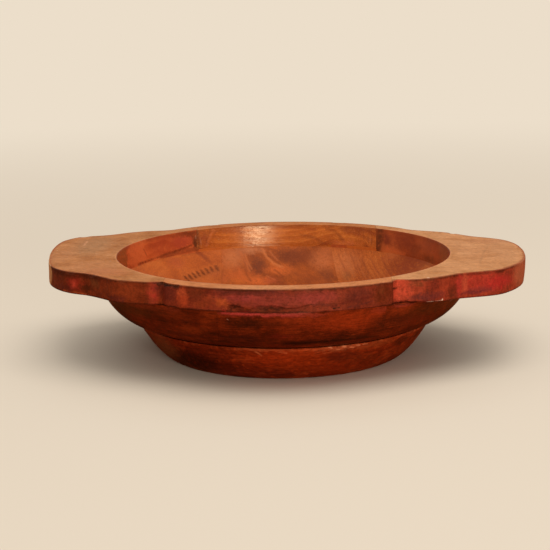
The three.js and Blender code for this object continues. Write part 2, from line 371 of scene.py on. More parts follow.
def base_mesh():
    """The whole base layer: foot, belly, and the lower dish inside"""
    top = STEP - LAYER_SEAM
    belly = quadratic((BASE_FOOT_RADIUS, 0), BASE_BELLY, (BASE_TOP_RADIUS, top), BASE_BELLY_STEPS)
    dish = dish_curve(BASE_DISH_STEPS)
    dish = dish[dish[:, 1] < top - 0.4 * MM]
    profile = [(radius, 0.0) for radius in np.linspace(0, BASE_FOOT_RADIUS - 1.0 * MM, 16)]
    zones = [FOOT] * len(profile)
    profile += [tuple(p) for p in belly]
    profile += [(radius * MM, top) for radius in (124.2, 123.4, 122, 120)]
    zones += [OUTSIDE] * (len(belly) + 3) + [HIDDEN]
    profile += [(112 * MM, top)]
    zones += [HIDDEN]
    profile += [(dish_radius(top), top)] + [tuple(p) for p in dish[::-1]]
    zones += [DISH] * (1 + len(dish))
    return turned_mesh("base_layer", profile, zones, BASE_STATIONS, False, base_wear)


def cut_board(name, layer, cuts, cap_zone, keep=None):
    """One board of a layer: what the cuts leave, with the sawn faces closed"""
    board = bmesh.new()
    board.from_mesh(layer)
    bmesh.ops.remove_doubles(board, verts=board.verts[:], dist=MERGE_DISTANCE)
    for point, normal in cuts:
        parts = board.verts[:] + board.edges[:] + board.faces[:]
        result = bmesh.ops.bisect_plane(
            board, geom=parts, dist=MERGE_DISTANCE, plane_co=point, plane_no=normal, clear_outer=True)
        rim_edges = [e for e in result["geom_cut"] if isinstance(e, bmesh.types.BMEdge)]
        for face in bmesh.ops.holes_fill(board, edges=rim_edges, sides=0)["faces"]:
            face.material_index = cap_zone
    if keep:
        away = [v for v in board.verts if not keep(v.co)]
        bmesh.ops.delete(board, geom=away, context="VERTS")
    bmesh.ops.recalc_face_normals(board, faces=board.faces[:])
    mesh = bpy.data.meshes.new(name)
    board.to_mesh(mesh)
    board.free()
    mesh.polygons.foreach_set("use_smooth", [True] * len(mesh.polygons))
    mesh.set_sharp_from_angle(angle=SHARP_ANGLE)
    return mesh


def saw_plane(cut, side, seam):
    """Plane of a saw line, a seam to its left (-1) or right (1); it takes off the far side"""
    x, drift = cut
    return (x + side * seam, 0, 0), (-side, side * drift, 0)


def ring_boards(layer, names, left_cut, right_cut, seam, cap_zone):
    """The left, right, back and front boards of a ring"""
    left, right, back, front = names
    between = [saw_plane(left_cut, 1, seam), saw_plane(right_cut, -1, seam)]
    return {
        left: cut_board(left, layer, [saw_plane(left_cut, -1, seam)], cap_zone),
        right: cut_board(right, layer, [saw_plane(right_cut, 1, seam)], cap_zone),
        back: cut_board(back, layer, between, cap_zone, lambda co: co.y > 0),
        front: cut_board(front, layer, between, cap_zone, lambda co: co.y < 0),
    }


def base_boards(layer):
    """The three boards of the base, which run from left to right"""
    def both_sides(y):
        return ((0, y - WALL_SEAM, 0), (0, 1, 0)), ((0, y + WALL_SEAM, 0), (0, -1, 0))

    front_end, middle_start = both_sides(BASE_FRONT_CUT)
    middle_end, back_start = both_sides(BASE_BACK_CUT)
    cuts = {"front_base": [front_end], "middle_base": [middle_start, middle_end], "back_base": [back_start]}
    return {name + "_board": cut_board(name, layer, planes, HIDDEN) for name, planes in cuts.items()}


def linear(seen):
    """A colour as seen, from 0 to 255, as linear values"""
    parts = [value / 255 for value in seen]
    return (*[p / 12.92 if p <= 0.04045 else ((p + 0.055) / 1.055) ** 2.4 for p in parts], 1.0)


# The varnish mirrors light in this tint
VARNISH_TINT = (1.0, 0.7, 0.4, 1.0)

# Stains that recur, as seen
SOOT = (42, 13, 5)
UMBER = (74, 27, 9)
BROWN = (104, 46, 20)
OLIVE = (112, 62, 30)
PURPLE = (86, 31, 25)
RUST = (150, 62, 28)
ORANGE = (190, 84, 38)
CHALK = (226, 190, 160)

# An egg-shaped patch of colour, a stain in most places and painted shade, a painted highlight or a painted
# reflection in some: its centre and half sizes in mm
Patch = namedtuple("Patch", "centre half colour strength soft ragged", defaults=(0.8, 0.5, 0.35))

# A line of colour, a stain, a crack or a streak in most places and painted shade or a painted highlight in
# some: the points it runs through and half its width, in mm
Line = namedtuple("Line", "points radius colour strength soft ragged", defaults=(0.8, 0.6, 0.3))


class Tree:
    """Builds a material's nodes. Each method adds nodes and gives back the socket that they end in."""

    def __init__(self, name):
        self.material = bpy.data.materials.new(name)
        self.material.use_nodes = True
        self.tree = self.material.node_tree
        self.tree.nodes.clear()
        place = self.tree.nodes.new("ShaderNodeTexCoord").outputs["Object"]
        self.place = self.vector("MULTIPLY", place, (1000, 1000, 1000))
        # Noises that make marks uneven, and places in mm that they have shifted a lot or a little
        coarse = self.noise_node((0.17, 0.17, 0.17), 5.0, 0.62)
        self.rough = self.centred(coarse.outputs["Fac"])
        drift = self.vector("SUBTRACT", coarse.outputs["Color"], (0.5, 0.5, 0.5))
        self.blurred = self.vector("MULTIPLY_ADD", drift, (9, 9, 9), self.place)
        self.nearly = self.vector("MULTIPLY_ADD", drift, (2.2, 2.2, 2.2), self.place)
        fine = self.centred(self.noise((0.8, 0.8, 0.8), 3.0, 0.6))
        self.uneven = self.add(self.times(self.rough, 2.0), self.times(fine, 2.4))
        patchy = self.noise((0.34, 0.34, 0.34), 4.0, 0.7)
        self.broken = self.remap(patchy, 0.3, 0.55, 0.45, 1.0)

    def feed(self, socket, value):
        if isinstance(value, bpy.types.NodeSocket):
            self.tree.links.new(value, socket)
        else:
            socket.default_value = value

    def math(self, operation, first, second=0.0, clamp=False):
        node = self.tree.nodes.new("ShaderNodeMath")
        node.operation = operation
        node.use_clamp = clamp
        self.feed(node.inputs[0], first)
        self.feed(node.inputs[1], second)
        return node.outputs[0]

    def add(self, first, second):
        return self.math("ADD", first, second)

    def times(self, first, second):
        return self.math("MULTIPLY", first, second)

    def centred(self, value, middle=0.5):
        return self.math("SUBTRACT", value, middle)

    def clamped(self, value):
        return self.math("ADD", value, 0.0, True)

    def vector(self, operation, *values):
        node = self.tree.nodes.new("ShaderNodeVectorMath")
        node.operation = operation
        for socket, value in zip(node.inputs, values):
            self.feed(socket, value)
        return node.outputs["Value" if operation in ("LENGTH", "DOT_PRODUCT") else "Vector"]

    def turned(self, place, degrees):
        node = self.tree.nodes.new("ShaderNodeVectorRotate")
        node.rotation_type = "Z_AXIS"
        self.feed(node.inputs["Vector"], place)
        node.inputs["Angle"].default_value = math.radians(degrees)
        return node.outputs["Vector"]

    def fact(self, name):
        node = self.tree.nodes.new("ShaderNodeAttribute")
        node.attribute_name = name
        return node.outputs["Fac"]

    def noise(self, *settings, **more):
        return self.noise_node(*settings, **more).outputs["Fac"]

    def noise_node(self, frequency, detail=3.0, roughness=0.5, distortion=0.0, place=None):
        node = self.tree.nodes.new("ShaderNodeTexNoise")
        node.inputs["Scale"].default_value = 1.0
        node.inputs["Detail"].default_value = detail
        node.inputs["Roughness"].default_value = roughness
        node.inputs["Distortion"].default_value = distortion
        self.feed(node.inputs["Vector"], self.vector("MULTIPLY", place or self.place, frequency))
        return node

    def remap(self, value, low, high, out_low=0.0, out_high=1.0):
        node = self.tree.nodes.new("ShaderNodeMapRange")
        node.interpolation_type = "SMOOTHSTEP"
        for socket, number in zip(node.inputs, (value, low, high, out_low, out_high)):
            self.feed(socket, number)
        return node.outputs["Result"]

    def ramp(self, value, stops):
        node = self.tree.nodes.new("ShaderNodeValToRGB")
        elements = node.color_ramp.elements
        while len(elements) < len(stops):
            elements.new(0.5)
        for element, (position, colour) in zip(elements, stops):
            element.position = position
            element.color = linear(colour)
        self.feed(node.inputs["Fac"], value)
        return node.outputs["Color"]

    def mix(self, share, first, second, blend="MIX"):
        """Mixes a socket's colour with another's, or with a colour as seen"""
        node = self.tree.nodes.new("ShaderNodeMix")
        node.data_type = "RGBA"
        node.blend_type = blend
        self.feed(node.inputs[0], share)
        self.feed(node.inputs[6], first)
        self.feed(node.inputs[7], linear(second) if isinstance(second, tuple) else second)
        return node.outputs[2]

    def patch_reach(self, centre, half):
        """Distance from an egg-shaped place, 1 on its border"""
        scale = [1 / h for h in half]
        shift = [-c / h for c, h in zip(centre, half)]
        return self.vector("LENGTH", self.vector("MULTIPLY_ADD", self.blurred, scale, shift))

    def line_reach(self, points, radius):
        """Distance from a line through some points, 1 on its border"""
        reach = None
        for start, end in zip(points, points[1:]):
            run = Vector(end) - Vector(start)
            away = self.vector("SUBTRACT", self.nearly, start)
            share = self.clamped(self.vector("DOT_PRODUCT", away, run / run.length_squared))
            distance = self.vector("LENGTH", self.vector("MULTIPLY_ADD", share, -run, away))
            reach = self.math("MINIMUM", reach, distance) if reach else distance
        return self.math("DIVIDE", reach, radius)

    def paint(self, colour, marks):
        """Lays marks over a colour: stains, and in some places painted shade, highlights and reflections"""
        for mark in marks:
            reach = self.patch_reach if isinstance(mark, Patch) else self.line_reach
            away = self.add(reach(mark[0], mark[1]), self.times(self.uneven, mark.ragged))
            mask = self.remap(away, 1 - mark.soft, 1 + mark.soft, mark.strength, 0.0)
            if mark.ragged:
                mask = self.times(mask, self.broken)
            colour = self.mix(mask, colour, mark.colour)
        return colour

    def stain_and_shade_near(self, colour, reach, low, high, strength, stain):
        """Lays a colour where a distance is short, thinning out between two values: a stain, and in some
        places painted shade
        """
        return self.mix(self.remap(reach, low, high, strength, 0.0), colour, stain)

    def ragged(self, name, raggedness):
        """A fact of the mesh, such as a distance in mm, made uneven"""
        return self.add(self.fact(name), self.times(self.rough, raggedness))

    def finish(self, colour, roughness, height, relief_mm, gloss):
        """Ends the tree in the wood's shader"""
        shader = self.tree.nodes.new("ShaderNodeBsdfPrincipled")
        self.feed(shader.inputs["Base Color"], colour)
        self.feed(shader.inputs["Roughness"], roughness)
        shader.inputs["Specular IOR Level"].default_value = gloss
        shader.inputs["Specular Tint"].default_value = VARNISH_TINT
        relief = self.tree.nodes.new("ShaderNodeBump")
        relief.inputs["Distance"].default_value = relief_mm * MM
        self.feed(relief.inputs["Height"], height)
        self.tree.links.new(relief.outputs["Normal"], shader.inputs["Normal"])
        output = self.tree.nodes.new("ShaderNodeOutputMaterial")
        self.tree.links.new(shader.outputs["BSDF"], output.inputs["Surface"])
        return self.material


# How the tree grew that a board was sawn from: the grain's direction, the heart's place, ring width
Board = namedtuple("Board", "seed grain heart ring wander", defaults=(6.0,))

BOARDS = {
    "left_ear_board": Board(1, grain=3, heart=(30, -70), ring=6.5),
    "right_ear_board": Board(2, grain=-5, heart=(-20, -60), ring=7.0),
    "back_rim_board": Board(3, grain=8, heart=(120, 20), ring=6.0),
    "front_rim_board": Board(4, grain=-3, heart=(-160, 10), ring=5.0),
    "left_wall_board": Board(5, grain=95, heart=(60, -60), ring=9.0),
    "right_wall_board": Board(6, grain=107, heart=(-260, 40), ring=3.4, wander=2.2),
    "back_wall_board": Board(7, grain=118, heart=(-20, 10), ring=9.0, wander=10),
    "front_wall_board": Board(8, grain=95, heart=(10, -40), ring=8.0),
    "front_base_board": Board(9, grain=2, heart=(-60, -60), ring=6.0),
    "middle_base_board": Board(10, grain=-2, heart=(0, -90), ring=6.0),
    "back_base_board": Board(11, grain=4, heart=(90, -60), ring=6.0),
}


class Grain:
    """A board's rings, broad figure, fibres and pores as sockets from 0 to 1"""

    def __init__(self, tree, board):
        shift = (board.seed * 311.0, board.seed * 173.0, board.seed * 59.0)
        own = tree.turned(tree.vector("ADD", tree.place, shift), -board.grain)
        here = tree.turned(tree.place, -board.grain)
        slow = tree.noise((0.006, 0.02, 0.02), 2.0, 0.5, place=own)
        quick = tree.noise((0.02, 0.09, 0.09), 3.0, 0.55, place=own)
        away = tree.vector("SUBTRACT", here, (0, *board.heart))
        from_heart = tree.vector("LENGTH", tree.vector("MULTIPLY", away, (0.0, 1.0, 1.0)))
        wandered = tree.add(from_heart, tree.times(slow, 5 * board.wander))
        wandered = tree.add(wandered, tree.times(quick, board.wander))
        phase = tree.math("FRACT", tree.math("DIVIDE", wandered, board.ring))
        self.rings = tree.times(tree.remap(phase, 0.0, 0.8), tree.remap(phase, 0.93, 1.0, 1.0, 0.0))
        self.figure = tree.noise((0.009, 0.05, 0.05), 4.0, 0.6, 0.4, own)
        self.fibres = tree.noise((0.05, 1.1, 1.1), 5.0, 0.65, place=own)
        pores = tree.noise((0.2, 2.4, 2.4), 2.0, 0.5, place=own)
        self.pores = tree.remap(pores, 0.62, 0.72)


# How one zone of a board looks: three tones, and how much of each kind of figure it shows
PLAIN = {
    "rings": 0.2, "figure": 0.6, "fibres": 0.4, "blotch": 0.3, "stripe": 0.0, "pores": 0.4, "roughness": 0.5,
    "gloss": 0.2, "relief_mm": 0.12, "turned": 0.0, "speckle": 0.5, "texture": 0.35,
    "speckle_size": (0.35, 0.35, 0.35),
}
Zone = namedtuple("Zone", ["dark", "mid", "light", *PLAIN], defaults=PLAIN.values())


def wood(name, board, zone, marks=(), touch=None):
    """A board's wood in one zone, with marks of stain and wear on it, and painted shade and highlights in
    some zones
    """
    tree = Tree(name)
    grain = Grain(tree, board)
    blotch = tree.noise((0.045, 0.045, 0.06), 4.0, 0.6)
    around = tree.noise((0.02, 0.02, 0.9), 4.0, 0.6)
    upright = tree.noise((0.3, 0.3, 0.03), 4.0, 0.6)
    parts = (
        (grain.rings, -zone.rings, 0.4), (grain.figure, zone.figure, 0.5), (grain.fibres, zone.fibres, 0.5),
        (blotch, zone.blotch, 0.5), (upright, zone.stripe, 0.5), (around, zone.turned, 0.5),
    )
    tone = 0.5
    for value, weight, middle in parts:
        if weight:
            tone = tree.add(tone, tree.times(tree.centred(value, middle), 2.0 * weight))
    colour = tree.ramp(tree.clamped(tone), [(0.05, zone.dark), (0.5, zone.mid), (0.95, zone.light)])
    if touch:
        colour = touch(tree, colour)
    colour = tree.paint(colour, marks)
    in_pores = tree.mix(1.0, colour, (168, 140, 128), "MULTIPLY")
    colour = tree.mix(tree.times(grain.pores, zone.pores), colour, in_pores)
    speckle = tree.centred(tree.noise(zone.speckle_size, 4.0, 0.75))
    lights = tree.times(speckle, 2.0 * zone.speckle)
    fibre_lights = tree.times(tree.centred(grain.fibres), 2.0 * zone.texture)
    colour = tree.vector("MULTIPLY", colour, tree.add(tree.add(lights, fibre_lights), 1.0))
    height = tree.math("SUBTRACT", tree.times(grain.fibres, 0.5), tree.times(grain.pores, 0.7))
    if zone.turned:
        height = tree.add(height, tree.times(around, 0.8))
    if zone.stripe:
        height = tree.add(height, tree.times(upright, 1.2))
    sheen = tree.remap(grain.fibres, 0.3, 0.7, zone.roughness - 0.06, zone.roughness + 0.08)
    return tree.finish(colour, sheen, height, zone.relief_mm, zone.gloss)


def top_wear_and_sheen(tree, colour):
    """The bare top: stain that crept over the outer edge, and a rubbed inner edge, lightened as wear and as a
    painted highlight
    """
    colour = tree.stain_and_shade_near(colour, tree.ragged("to_outer", 7.0), 0.2, 2.6, 0.85, (162, 84, 46))
    # Rubbed wear and a painted highlight along the inner edge
    rubbed = tree.times(tree.remap(tree.fact("to_inner"), 0.4, 2.0, 0.5, 0.0), tree.broken)
    colour = tree.mix(rubbed, colour, (214, 146, 96))
    return tree.mix(tree.times(tree.fact("torn"), 0.85), colour, UMBER)


def far_side(tree):
    """0 in front, 1 behind"""
    depth = tree.vector("DOT_PRODUCT", tree.place, (0.0, 1.0, 0.0))
    return tree.remap(depth, -25.0, 30.0)


def chance_stains(tree, colour, stains, share=1.0):
    """Patches of stain where a slow noise is high, one noise for each colour"""
    for frequency, threshold, strength, stain in stains:
        field = tree.noise(frequency, 4.0, 0.6)
        mask = tree.times(tree.remap(field, threshold, threshold + 0.1, 0.0, strength), share)
        colour = tree.mix(tree.times(mask, tree.broken), colour, stain)
    return colour


# Chance stains: frequency of the noise in 1/mm, how high it has to be, strength and colour
EDGE_STAINS = (
    ((0.021, 0.021, 0.05), 0.56, 0.7, (176, 48, 36)),
    ((0.026, 0.024, 0.04), 0.58, 0.7, PURPLE),
    ((0.017, 0.019, 0.07), 0.58, 0.6, ORANGE),
    ((0.037, 0.033, 0.03), 0.6, 0.7, UMBER),
)
TURNED_STAINS = (
    ((0.016, 0.016, 0.1), 0.57, 0.55, (60, 18, 8)),
    ((0.013, 0.015, 0.07), 0.58, 0.5, (156, 58, 22)),
    ((0.02, 0.018, 0.16), 0.6, 0.5, (128, 34, 22)),
)
TURNED_STREAKS = (
    ((0.05, 0.05, 0.6), 0.58, 0.45, (54, 15, 5)),
    ((0.06, 0.06, 0.7), 0.6, 0.4, (178, 74, 30)),
    ((0.13, 0.13, 0.3), 0.57, 0.35, (58, 15, 5)),
)
FOOT_MOTTLES = (
    ((0.17, 0.17, 0.26), 0.54, 0.5, (62, 15, 4)),
    ((0.21, 0.21, 0.3), 0.56, 0.45, (196, 72, 26)),
)


def edge_wear_and_shade(tree, colour):
    """The sawn edge: a dark line under the top, partly stain and partly painted shade, painted shade along
    the lower border, and raw dark wood where it is torn
    """
    colour = chance_stains(tree, colour, EDGE_STAINS, far_side(tree))
    # A dark line under the top: partly stain, partly painted shade on the eased corner
    colour = tree.stain_and_shade_near(colour, tree.ragged("to_outer", 5.0), 0.3, 2.6, 0.75, UMBER)
    # Painted shade along the lower border, where the rim sits on the wall, but not over the flake
    off_flake = tree.remap(tree.patch_reach((56, -146, 67), (30, 30, 10)), 0.8, 1.1)
    under_shade = tree.times(tree.remap(tree.ragged("to_under", 3.0), 0.1, 1.7, 0.8, 0.0), off_flake)
    colour = tree.mix(under_shade, colour, (54, 17, 7))
    colour = tree.stain_and_shade_near(colour, tree.fact("to_outer"), 0.1, 0.9, 0.5, (150, 88, 52))
    return tree.mix(tree.times(tree.fact("torn"), 0.8), colour, (92, 38, 16))


def worn_turning(tree, colour):
    """The turned outside: dark and bright streaks that run round it"""
    colour = chance_stains(tree, colour, TURNED_STAINS, far_side(tree))
    return chance_stains(tree, colour, TURNED_STREAKS)


def foot_mottles_and_glints(tree, colour):
    """The base's side, mottled, with painted highlights that glint along the rubbed corner at the ledge"""
    colour = chance_stains(tree, worn_turning(tree, colour), FOOT_MOTTLES)
    height = tree.vector("DOT_PRODUCT", tree.place, (0.0, 0.0, 1.0))
    # Painted highlights: glints close under the corner of the ledge
    rubbed = tree.add(height, tree.times(tree.uneven, 2.2))
    glints = tree.remap(tree.noise((0.06, 0.06, 0.06), 4.0, 0.75), 0.5, 0.62)
    return tree.mix(tree.times(tree.remap(rubbed, 27.2, 30.2, 0.0, 0.5), glints), colour, (184, 86, 46))


def band_shade_under_top(tree, colour):
    """The band inside the rim: painted shade, darker close under the top"""
    return tree.stain_and_shade_near(colour, tree.ragged("to_inner", 5.0), 1.0, 4.5, 0.35, BROWN)


def top(mid, darker=22, lighter=16):
    """The bare, rubbed wood of the rim's top"""
    dark, light = [c - darker for c in mid], [c + lighter for c in mid]
    return Zone(dark, mid, light, rings=0.06, figure=0.18, fibres=0.22, blotch=1.0, pores=0.5,
                roughness=0.62, gloss=0.12, relief_mm=0.2, speckle=0.48, texture=0.15)


def sawn(dark, mid, light, stripe=0.35, figure=0.3):
    """The stained, sawn edge of the rim"""
    return Zone(dark, mid, light, rings=0.05, figure=figure, fibres=0.35, blotch=0.7, stripe=stripe,
                roughness=0.52, gloss=0.16, relief_mm=0.25, speckle=0.65, texture=0.3,
                speckle_size=(0.4, 0.4, 0.3))


def lathe(dark, mid, light):
    """Stained wood turned on the lathe, outside"""
    return Zone(dark, mid, light, rings=0.04, figure=0.3, fibres=0.2, blotch=0.7, turned=0.45, pores=0.6,
                roughness=0.42, gloss=0.16, relief_mm=0.16, speckle=0.9, texture=0.3,
                speckle_size=(0.2, 0.2, 0.75))


def inside(dark, mid, light, **figure):
    """Oiled wood inside the bowl"""
    usual = {"rings": 0.15, "fibres": 0.3, "blotch": 0.5, "roughness": 0.42, "gloss": 0.16, "texture": 0.24}
    return Zone(dark, mid, light, **{**usual, **figure}, pores=0.5, relief_mm=0.08, speckle=0.12)


BARE = Zone((112, 66, 38), (142, 88, 52), (164, 108, 68), roughness=0.8, gloss=0.12, relief_mm=0.3)
DARK_UNDER = Zone((44, 12, 4), (72, 22, 8), (98, 34, 14), roughness=0.6)
BELLY = lathe((56, 15, 4), (98, 29, 6), (146, 52, 17))
FOOT_SIDE = lathe((86, 22, 4), (134, 39, 9), (180, 72, 30))
FOOT_WOOD = Zone((96, 48, 24), (134, 74, 40), (158, 98, 58), roughness=0.75, gloss=0.15, relief_mm=0.25)

ZONES = {
    "left_ear_board": {
        BAND: inside((166, 64, 27), (200, 88, 40), (216, 104, 50), fibres=0.15, texture=0.12, blotch=0.7),
        TOP: top((189, 121, 70)),
        EDGE: sawn((76, 24, 9), (114, 41, 15), (144, 58, 26)),
    },
    "right_ear_board": {
        BAND: inside((140, 58, 28), (182, 82, 38), (204, 100, 49), rings=0.02, fibres=0.15, texture=0.12,
                     blotch=0.7),
        TOP: top((203, 138, 88)),
        EDGE: sawn((98, 34, 19), (148, 52, 28), (180, 70, 42)),
    },
    "back_rim_board": {
        BAND: inside((150, 62, 16), (188, 92, 29), (212, 114, 42), fibres=0.12, texture=0.08, figure=0.8,
                     blotch=0.6, roughness=0.24, gloss=0.62),
        TOP: top((190, 114, 60)),
        EDGE: sawn((84, 28, 12), (122, 44, 22), (150, 60, 34), stripe=0.1, figure=0.5),
    },
    "front_rim_board": {
        BAND: inside((140, 62, 26), (168, 78, 36), (188, 96, 48)),
        TOP: top((204, 125, 73), 16, 14),
        EDGE: sawn((92, 30, 15), (124, 44, 23), (148, 58, 34), stripe=0.1, figure=0.5),
    },
    "left_wall_board": {
        OUTSIDE: BELLY,
        DISH: inside((158, 70, 27), (184, 88, 34), (202, 104, 44), rings=0.04, figure=0.4, blotch=0.7),
    },
    "right_wall_board": {
        OUTSIDE: BELLY,
        DISH: inside((138, 58, 22), (180, 88, 35), (204, 112, 50), rings=0.07, figure=0.4, fibres=0.5),
    },
    "back_wall_board": {
        OUTSIDE: BELLY,
        DISH: inside((122, 52, 21), (160, 74, 27), (196, 94, 33), rings=0.08, figure=0.5, blotch=0.7),
    },
    "front_wall_board": {OUTSIDE: BELLY, DISH: inside((124, 54, 26), (158, 74, 35), (188, 92, 42))},
}
BASE_ZONES = {OUTSIDE: FOOT_SIDE, DISH: inside((126, 56, 26), (158, 76, 36), (184, 94, 46))}

TOUCHES = {"band": band_shade_under_top, "top": top_wear_and_sheen, "edge": edge_wear_and_shade}


def cloud(centre, half, colour, strength=0.5):
    """A soft cloud in the dish"""
    return Patch(centre, half, colour, strength, 0.8, 0.5)


def streak(points, radius, colour, strength):
    """A soft, broken streak in the dish"""
    return Line(points, radius, colour, strength, 0.95, 0.6)


def glint(points, radius, colour, strength=0.8):
    """A painted highlight: a short, bright glint"""
    return Line(points, radius, colour, strength, 0.9, 0.4)


def tool_marks(count, degrees, feet, length):
    """An even row of short, dark dents up the slope of the dish, along an arc that climbs it"""
    marks = []
    for turn, foot in zip(np.radians(np.linspace(*degrees, count)), np.linspace(*feet, count)):
        places = [(dish_radius(z * MM) / MM, z) for z in (foot, foot + length)]
        dent = [(radius * math.cos(turn), radius * math.sin(turn), z) for radius, z in places]
        marks.append(Line(dent, 1.35, (98, 38, 8), 0.85, 0.9, 0.15))
    return marks


# A dark line under the left board's band, from the wall up over the joint
CRACK = Line([(-131, 42, 64.4), (-124, 59, 65), (-113, 78, 66.4), (-102, 92.6, 68.2), (-91, 103.5, 70.6)],
             1.1, (124, 50, 20), 1.0, 0.8, 0.25)

# Marks by board and zone, in the order in which they are laid
MARKS = {}

# Left ear: sawn edge, from the tip to the front joint
MARKS["left_ear_board", "edge"] = [
    Patch((-118, -120, 77), (18, 40, 6), RUST, 0.5),
    # The left tip's end face: pale bare wood, painted brighter still as light falling on it from the left
    Patch((-200, -5, 77), (42, 67, 20), (216, 160, 106), 1.0, 0.03, 0.0),
    Line([(-182.6, -70.6, 84), (-182.6, -70.6, 70)], 0.7, UMBER, 0.7),
    Patch((-174, -80, 76), (9, 30, 9), (104, 36, 19), 0.5),
    # Dark under the top edge: partly stain, partly painted shade
    Patch((-165, -88, 80), (12, 40, 3), BROWN, 0.5),
    Patch((-160, -91, 75.5), (6, 40, 6), (158, 42, 28), 0.8, 0.7),
    Patch((-161, -91, 74.5), (2.4, 40, 3.4), (196, 70, 48), 0.6, 0.8),
    Patch((-168, -86, 70.5), (9, 30, 2.5), PURPLE, 0.45),
    # Painted highlight: orange glints along the bottom edge
    Line([(-171, -84, 68.4), (-158, -92, 67.6), (-150, -96, 67.6)], 0.7, (186, 84, 40), 0.7, 0.9),
    Patch((-150, -96, 72), (7, 30, 2.5), UMBER, 0.75),
    Patch((-142, -102, 79), (4, 30, 5), OLIVE, 0.6),
    Patch((-122, -120, 69.5), (8, 30, 2), PURPLE, 0.7),
    Patch((-91.4, -130, 75), (4, 40, 8), (172, 46, 32), 0.75, 0.8),
    Patch((-84, -132, 78), (7, 30, 6), PURPLE, 0.6),
    # Dark under the top edge: partly stain, partly painted shade
    Line([(-181, -73, 82.6), (-174, -82, 82), (-160, -91, 82), (-144, -101, 82.8), (-137, -107, 82.4)],
         2.3, (76, 25, 8), 0.9, 0.7, 0.5),
    Line([(-87.4, -131, 82), (-87.2, -131, 70)], 0.45, UMBER, 0.5),
    Line([(-85.4, -131.6, 83), (-85.2, -131.6, 68)], 0.5, SOOT, 0.75, 0.6, 0.1),
    Patch((-87.4, -131, 83), (4, 30, 1), SOOT, 0.8),
]

# Front rail: sawn edge, from the left joint to the right one
MARKS["front_rim_board", "edge"] = [
    Patch((-78, -136, 78), (6, 30, 7), PURPLE, 0.55),
    Line([(-81.5, -133.8, 82), (-81.3, -134, 69)], 0.4, SOOT, 0.35),
    Patch((-77, -136, 83), (7, 30, 1.9), (46, 15, 6), 0.95, 0.6, 0.4),
    Patch((-67, -142, 74.5), (4.6, 30, 8), (174, 66, 32), 0.85, 0.4, 0.5),
    Patch((-68, -142, 79), (3, 30, 3), (190, 84, 46), 0.5),
    Patch((-56, -147, 79), (8, 30, 4.5), BROWN, 0.5),
    Patch((-52, -148, 71), (7, 30, 3), RUST, 0.5),
    Patch((-42, -151, 75.5), (9, 30, 3), (164, 68, 28), 0.6),
    Patch((0, -157, 76.5), (44, 40, 5.5), (150, 58, 46), 0.6, 0.6),
    Patch((-20, -156, 77), (12, 40, 2.5), (156, 58, 52), 0.45),
    Patch((35, -153, 77.5), (14, 30, 4), (160, 58, 48), 0.5),
    # Dark under the top edge: partly stain, partly painted shade
    Patch((-18, -156, 81.8), (24, 30, 2.4), (90, 36, 28), 0.7),
    Patch((-35, -153, 73), (5, 30, 3.2), ORANGE, 0.7),
    # Dark under the top edge: partly stain, partly painted shade
    Line([(-36, -153, 83.4), (-20, -156, 83.5), (-3, -157, 83.4)], 0.8, UMBER, 0.7),
    # The next four marks: painted shadow under the crest of the torn flake and in the gap beneath it
    Patch((-26, -154.8, 70.2), (4.4, 30, 1.8), (58, 19, 8), 0.95, 0.8, 0.25),
    Line([(-24, -155, 68.6), (-15, -156, 67.8), (-9, -157, 68.4)], 0.8, (66, 22, 9), 0.85, 0.9),
    Patch((1, -157, 69.9), (11, 30, 1.4), (62, 21, 9), 0.9, 0.9, 0.3),
    Line([(-22, -155, 67.4), (-4, -157, 67.5), (12, -157, 67.8)], 0.6, SOOT, 0.85, 0.8),
    Patch((-14, -156, 68.8), (7, 30, 1.4), (128, 48, 22), 0.7),
    # Painted shadow under the flake's crest
    Line([(8, -157, 69.8), (14, -156, 69.3), (20, -156, 69.6), (26, -155, 71.2), (31, -154, 72.4)],
         0.6, (84, 34, 18), 0.8, 0.8),
    Line([(31, -154, 72.4), (45, -150.5, 71)], 0.7, PURPLE, 0.5),
    Line([(-36, -153, 67.2), (-8, -157, 67.2), (20, -156, 67.2)], 0.5, (120, 22, 14), 0.7),
    Line([(47, -149.6, 68.4), (52, -148.2, 68.6)], 0.5, SOOT, 1.0, 0.6, 0.1),
    Patch((66, -142, 77), (9, 30, 5), PURPLE, 0.55),
    Line([(46, -150, 69.5), (60, -145, 73), (76, -137, 75)], 0.9, (96, 26, 16), 0.7),
    Line([(58, -146, 68), (70, -140, 70), (77, -137, 71.5)], 0.8, PURPLE, 0.6),
    Patch((84, -131, 76.5), (7.4, 30, 10), (98, 33, 9), 0.95, 0.45, 0.5),
    Patch((83, -131, 79), (3, 30, 3), (124, 56, 26), 0.5),
]

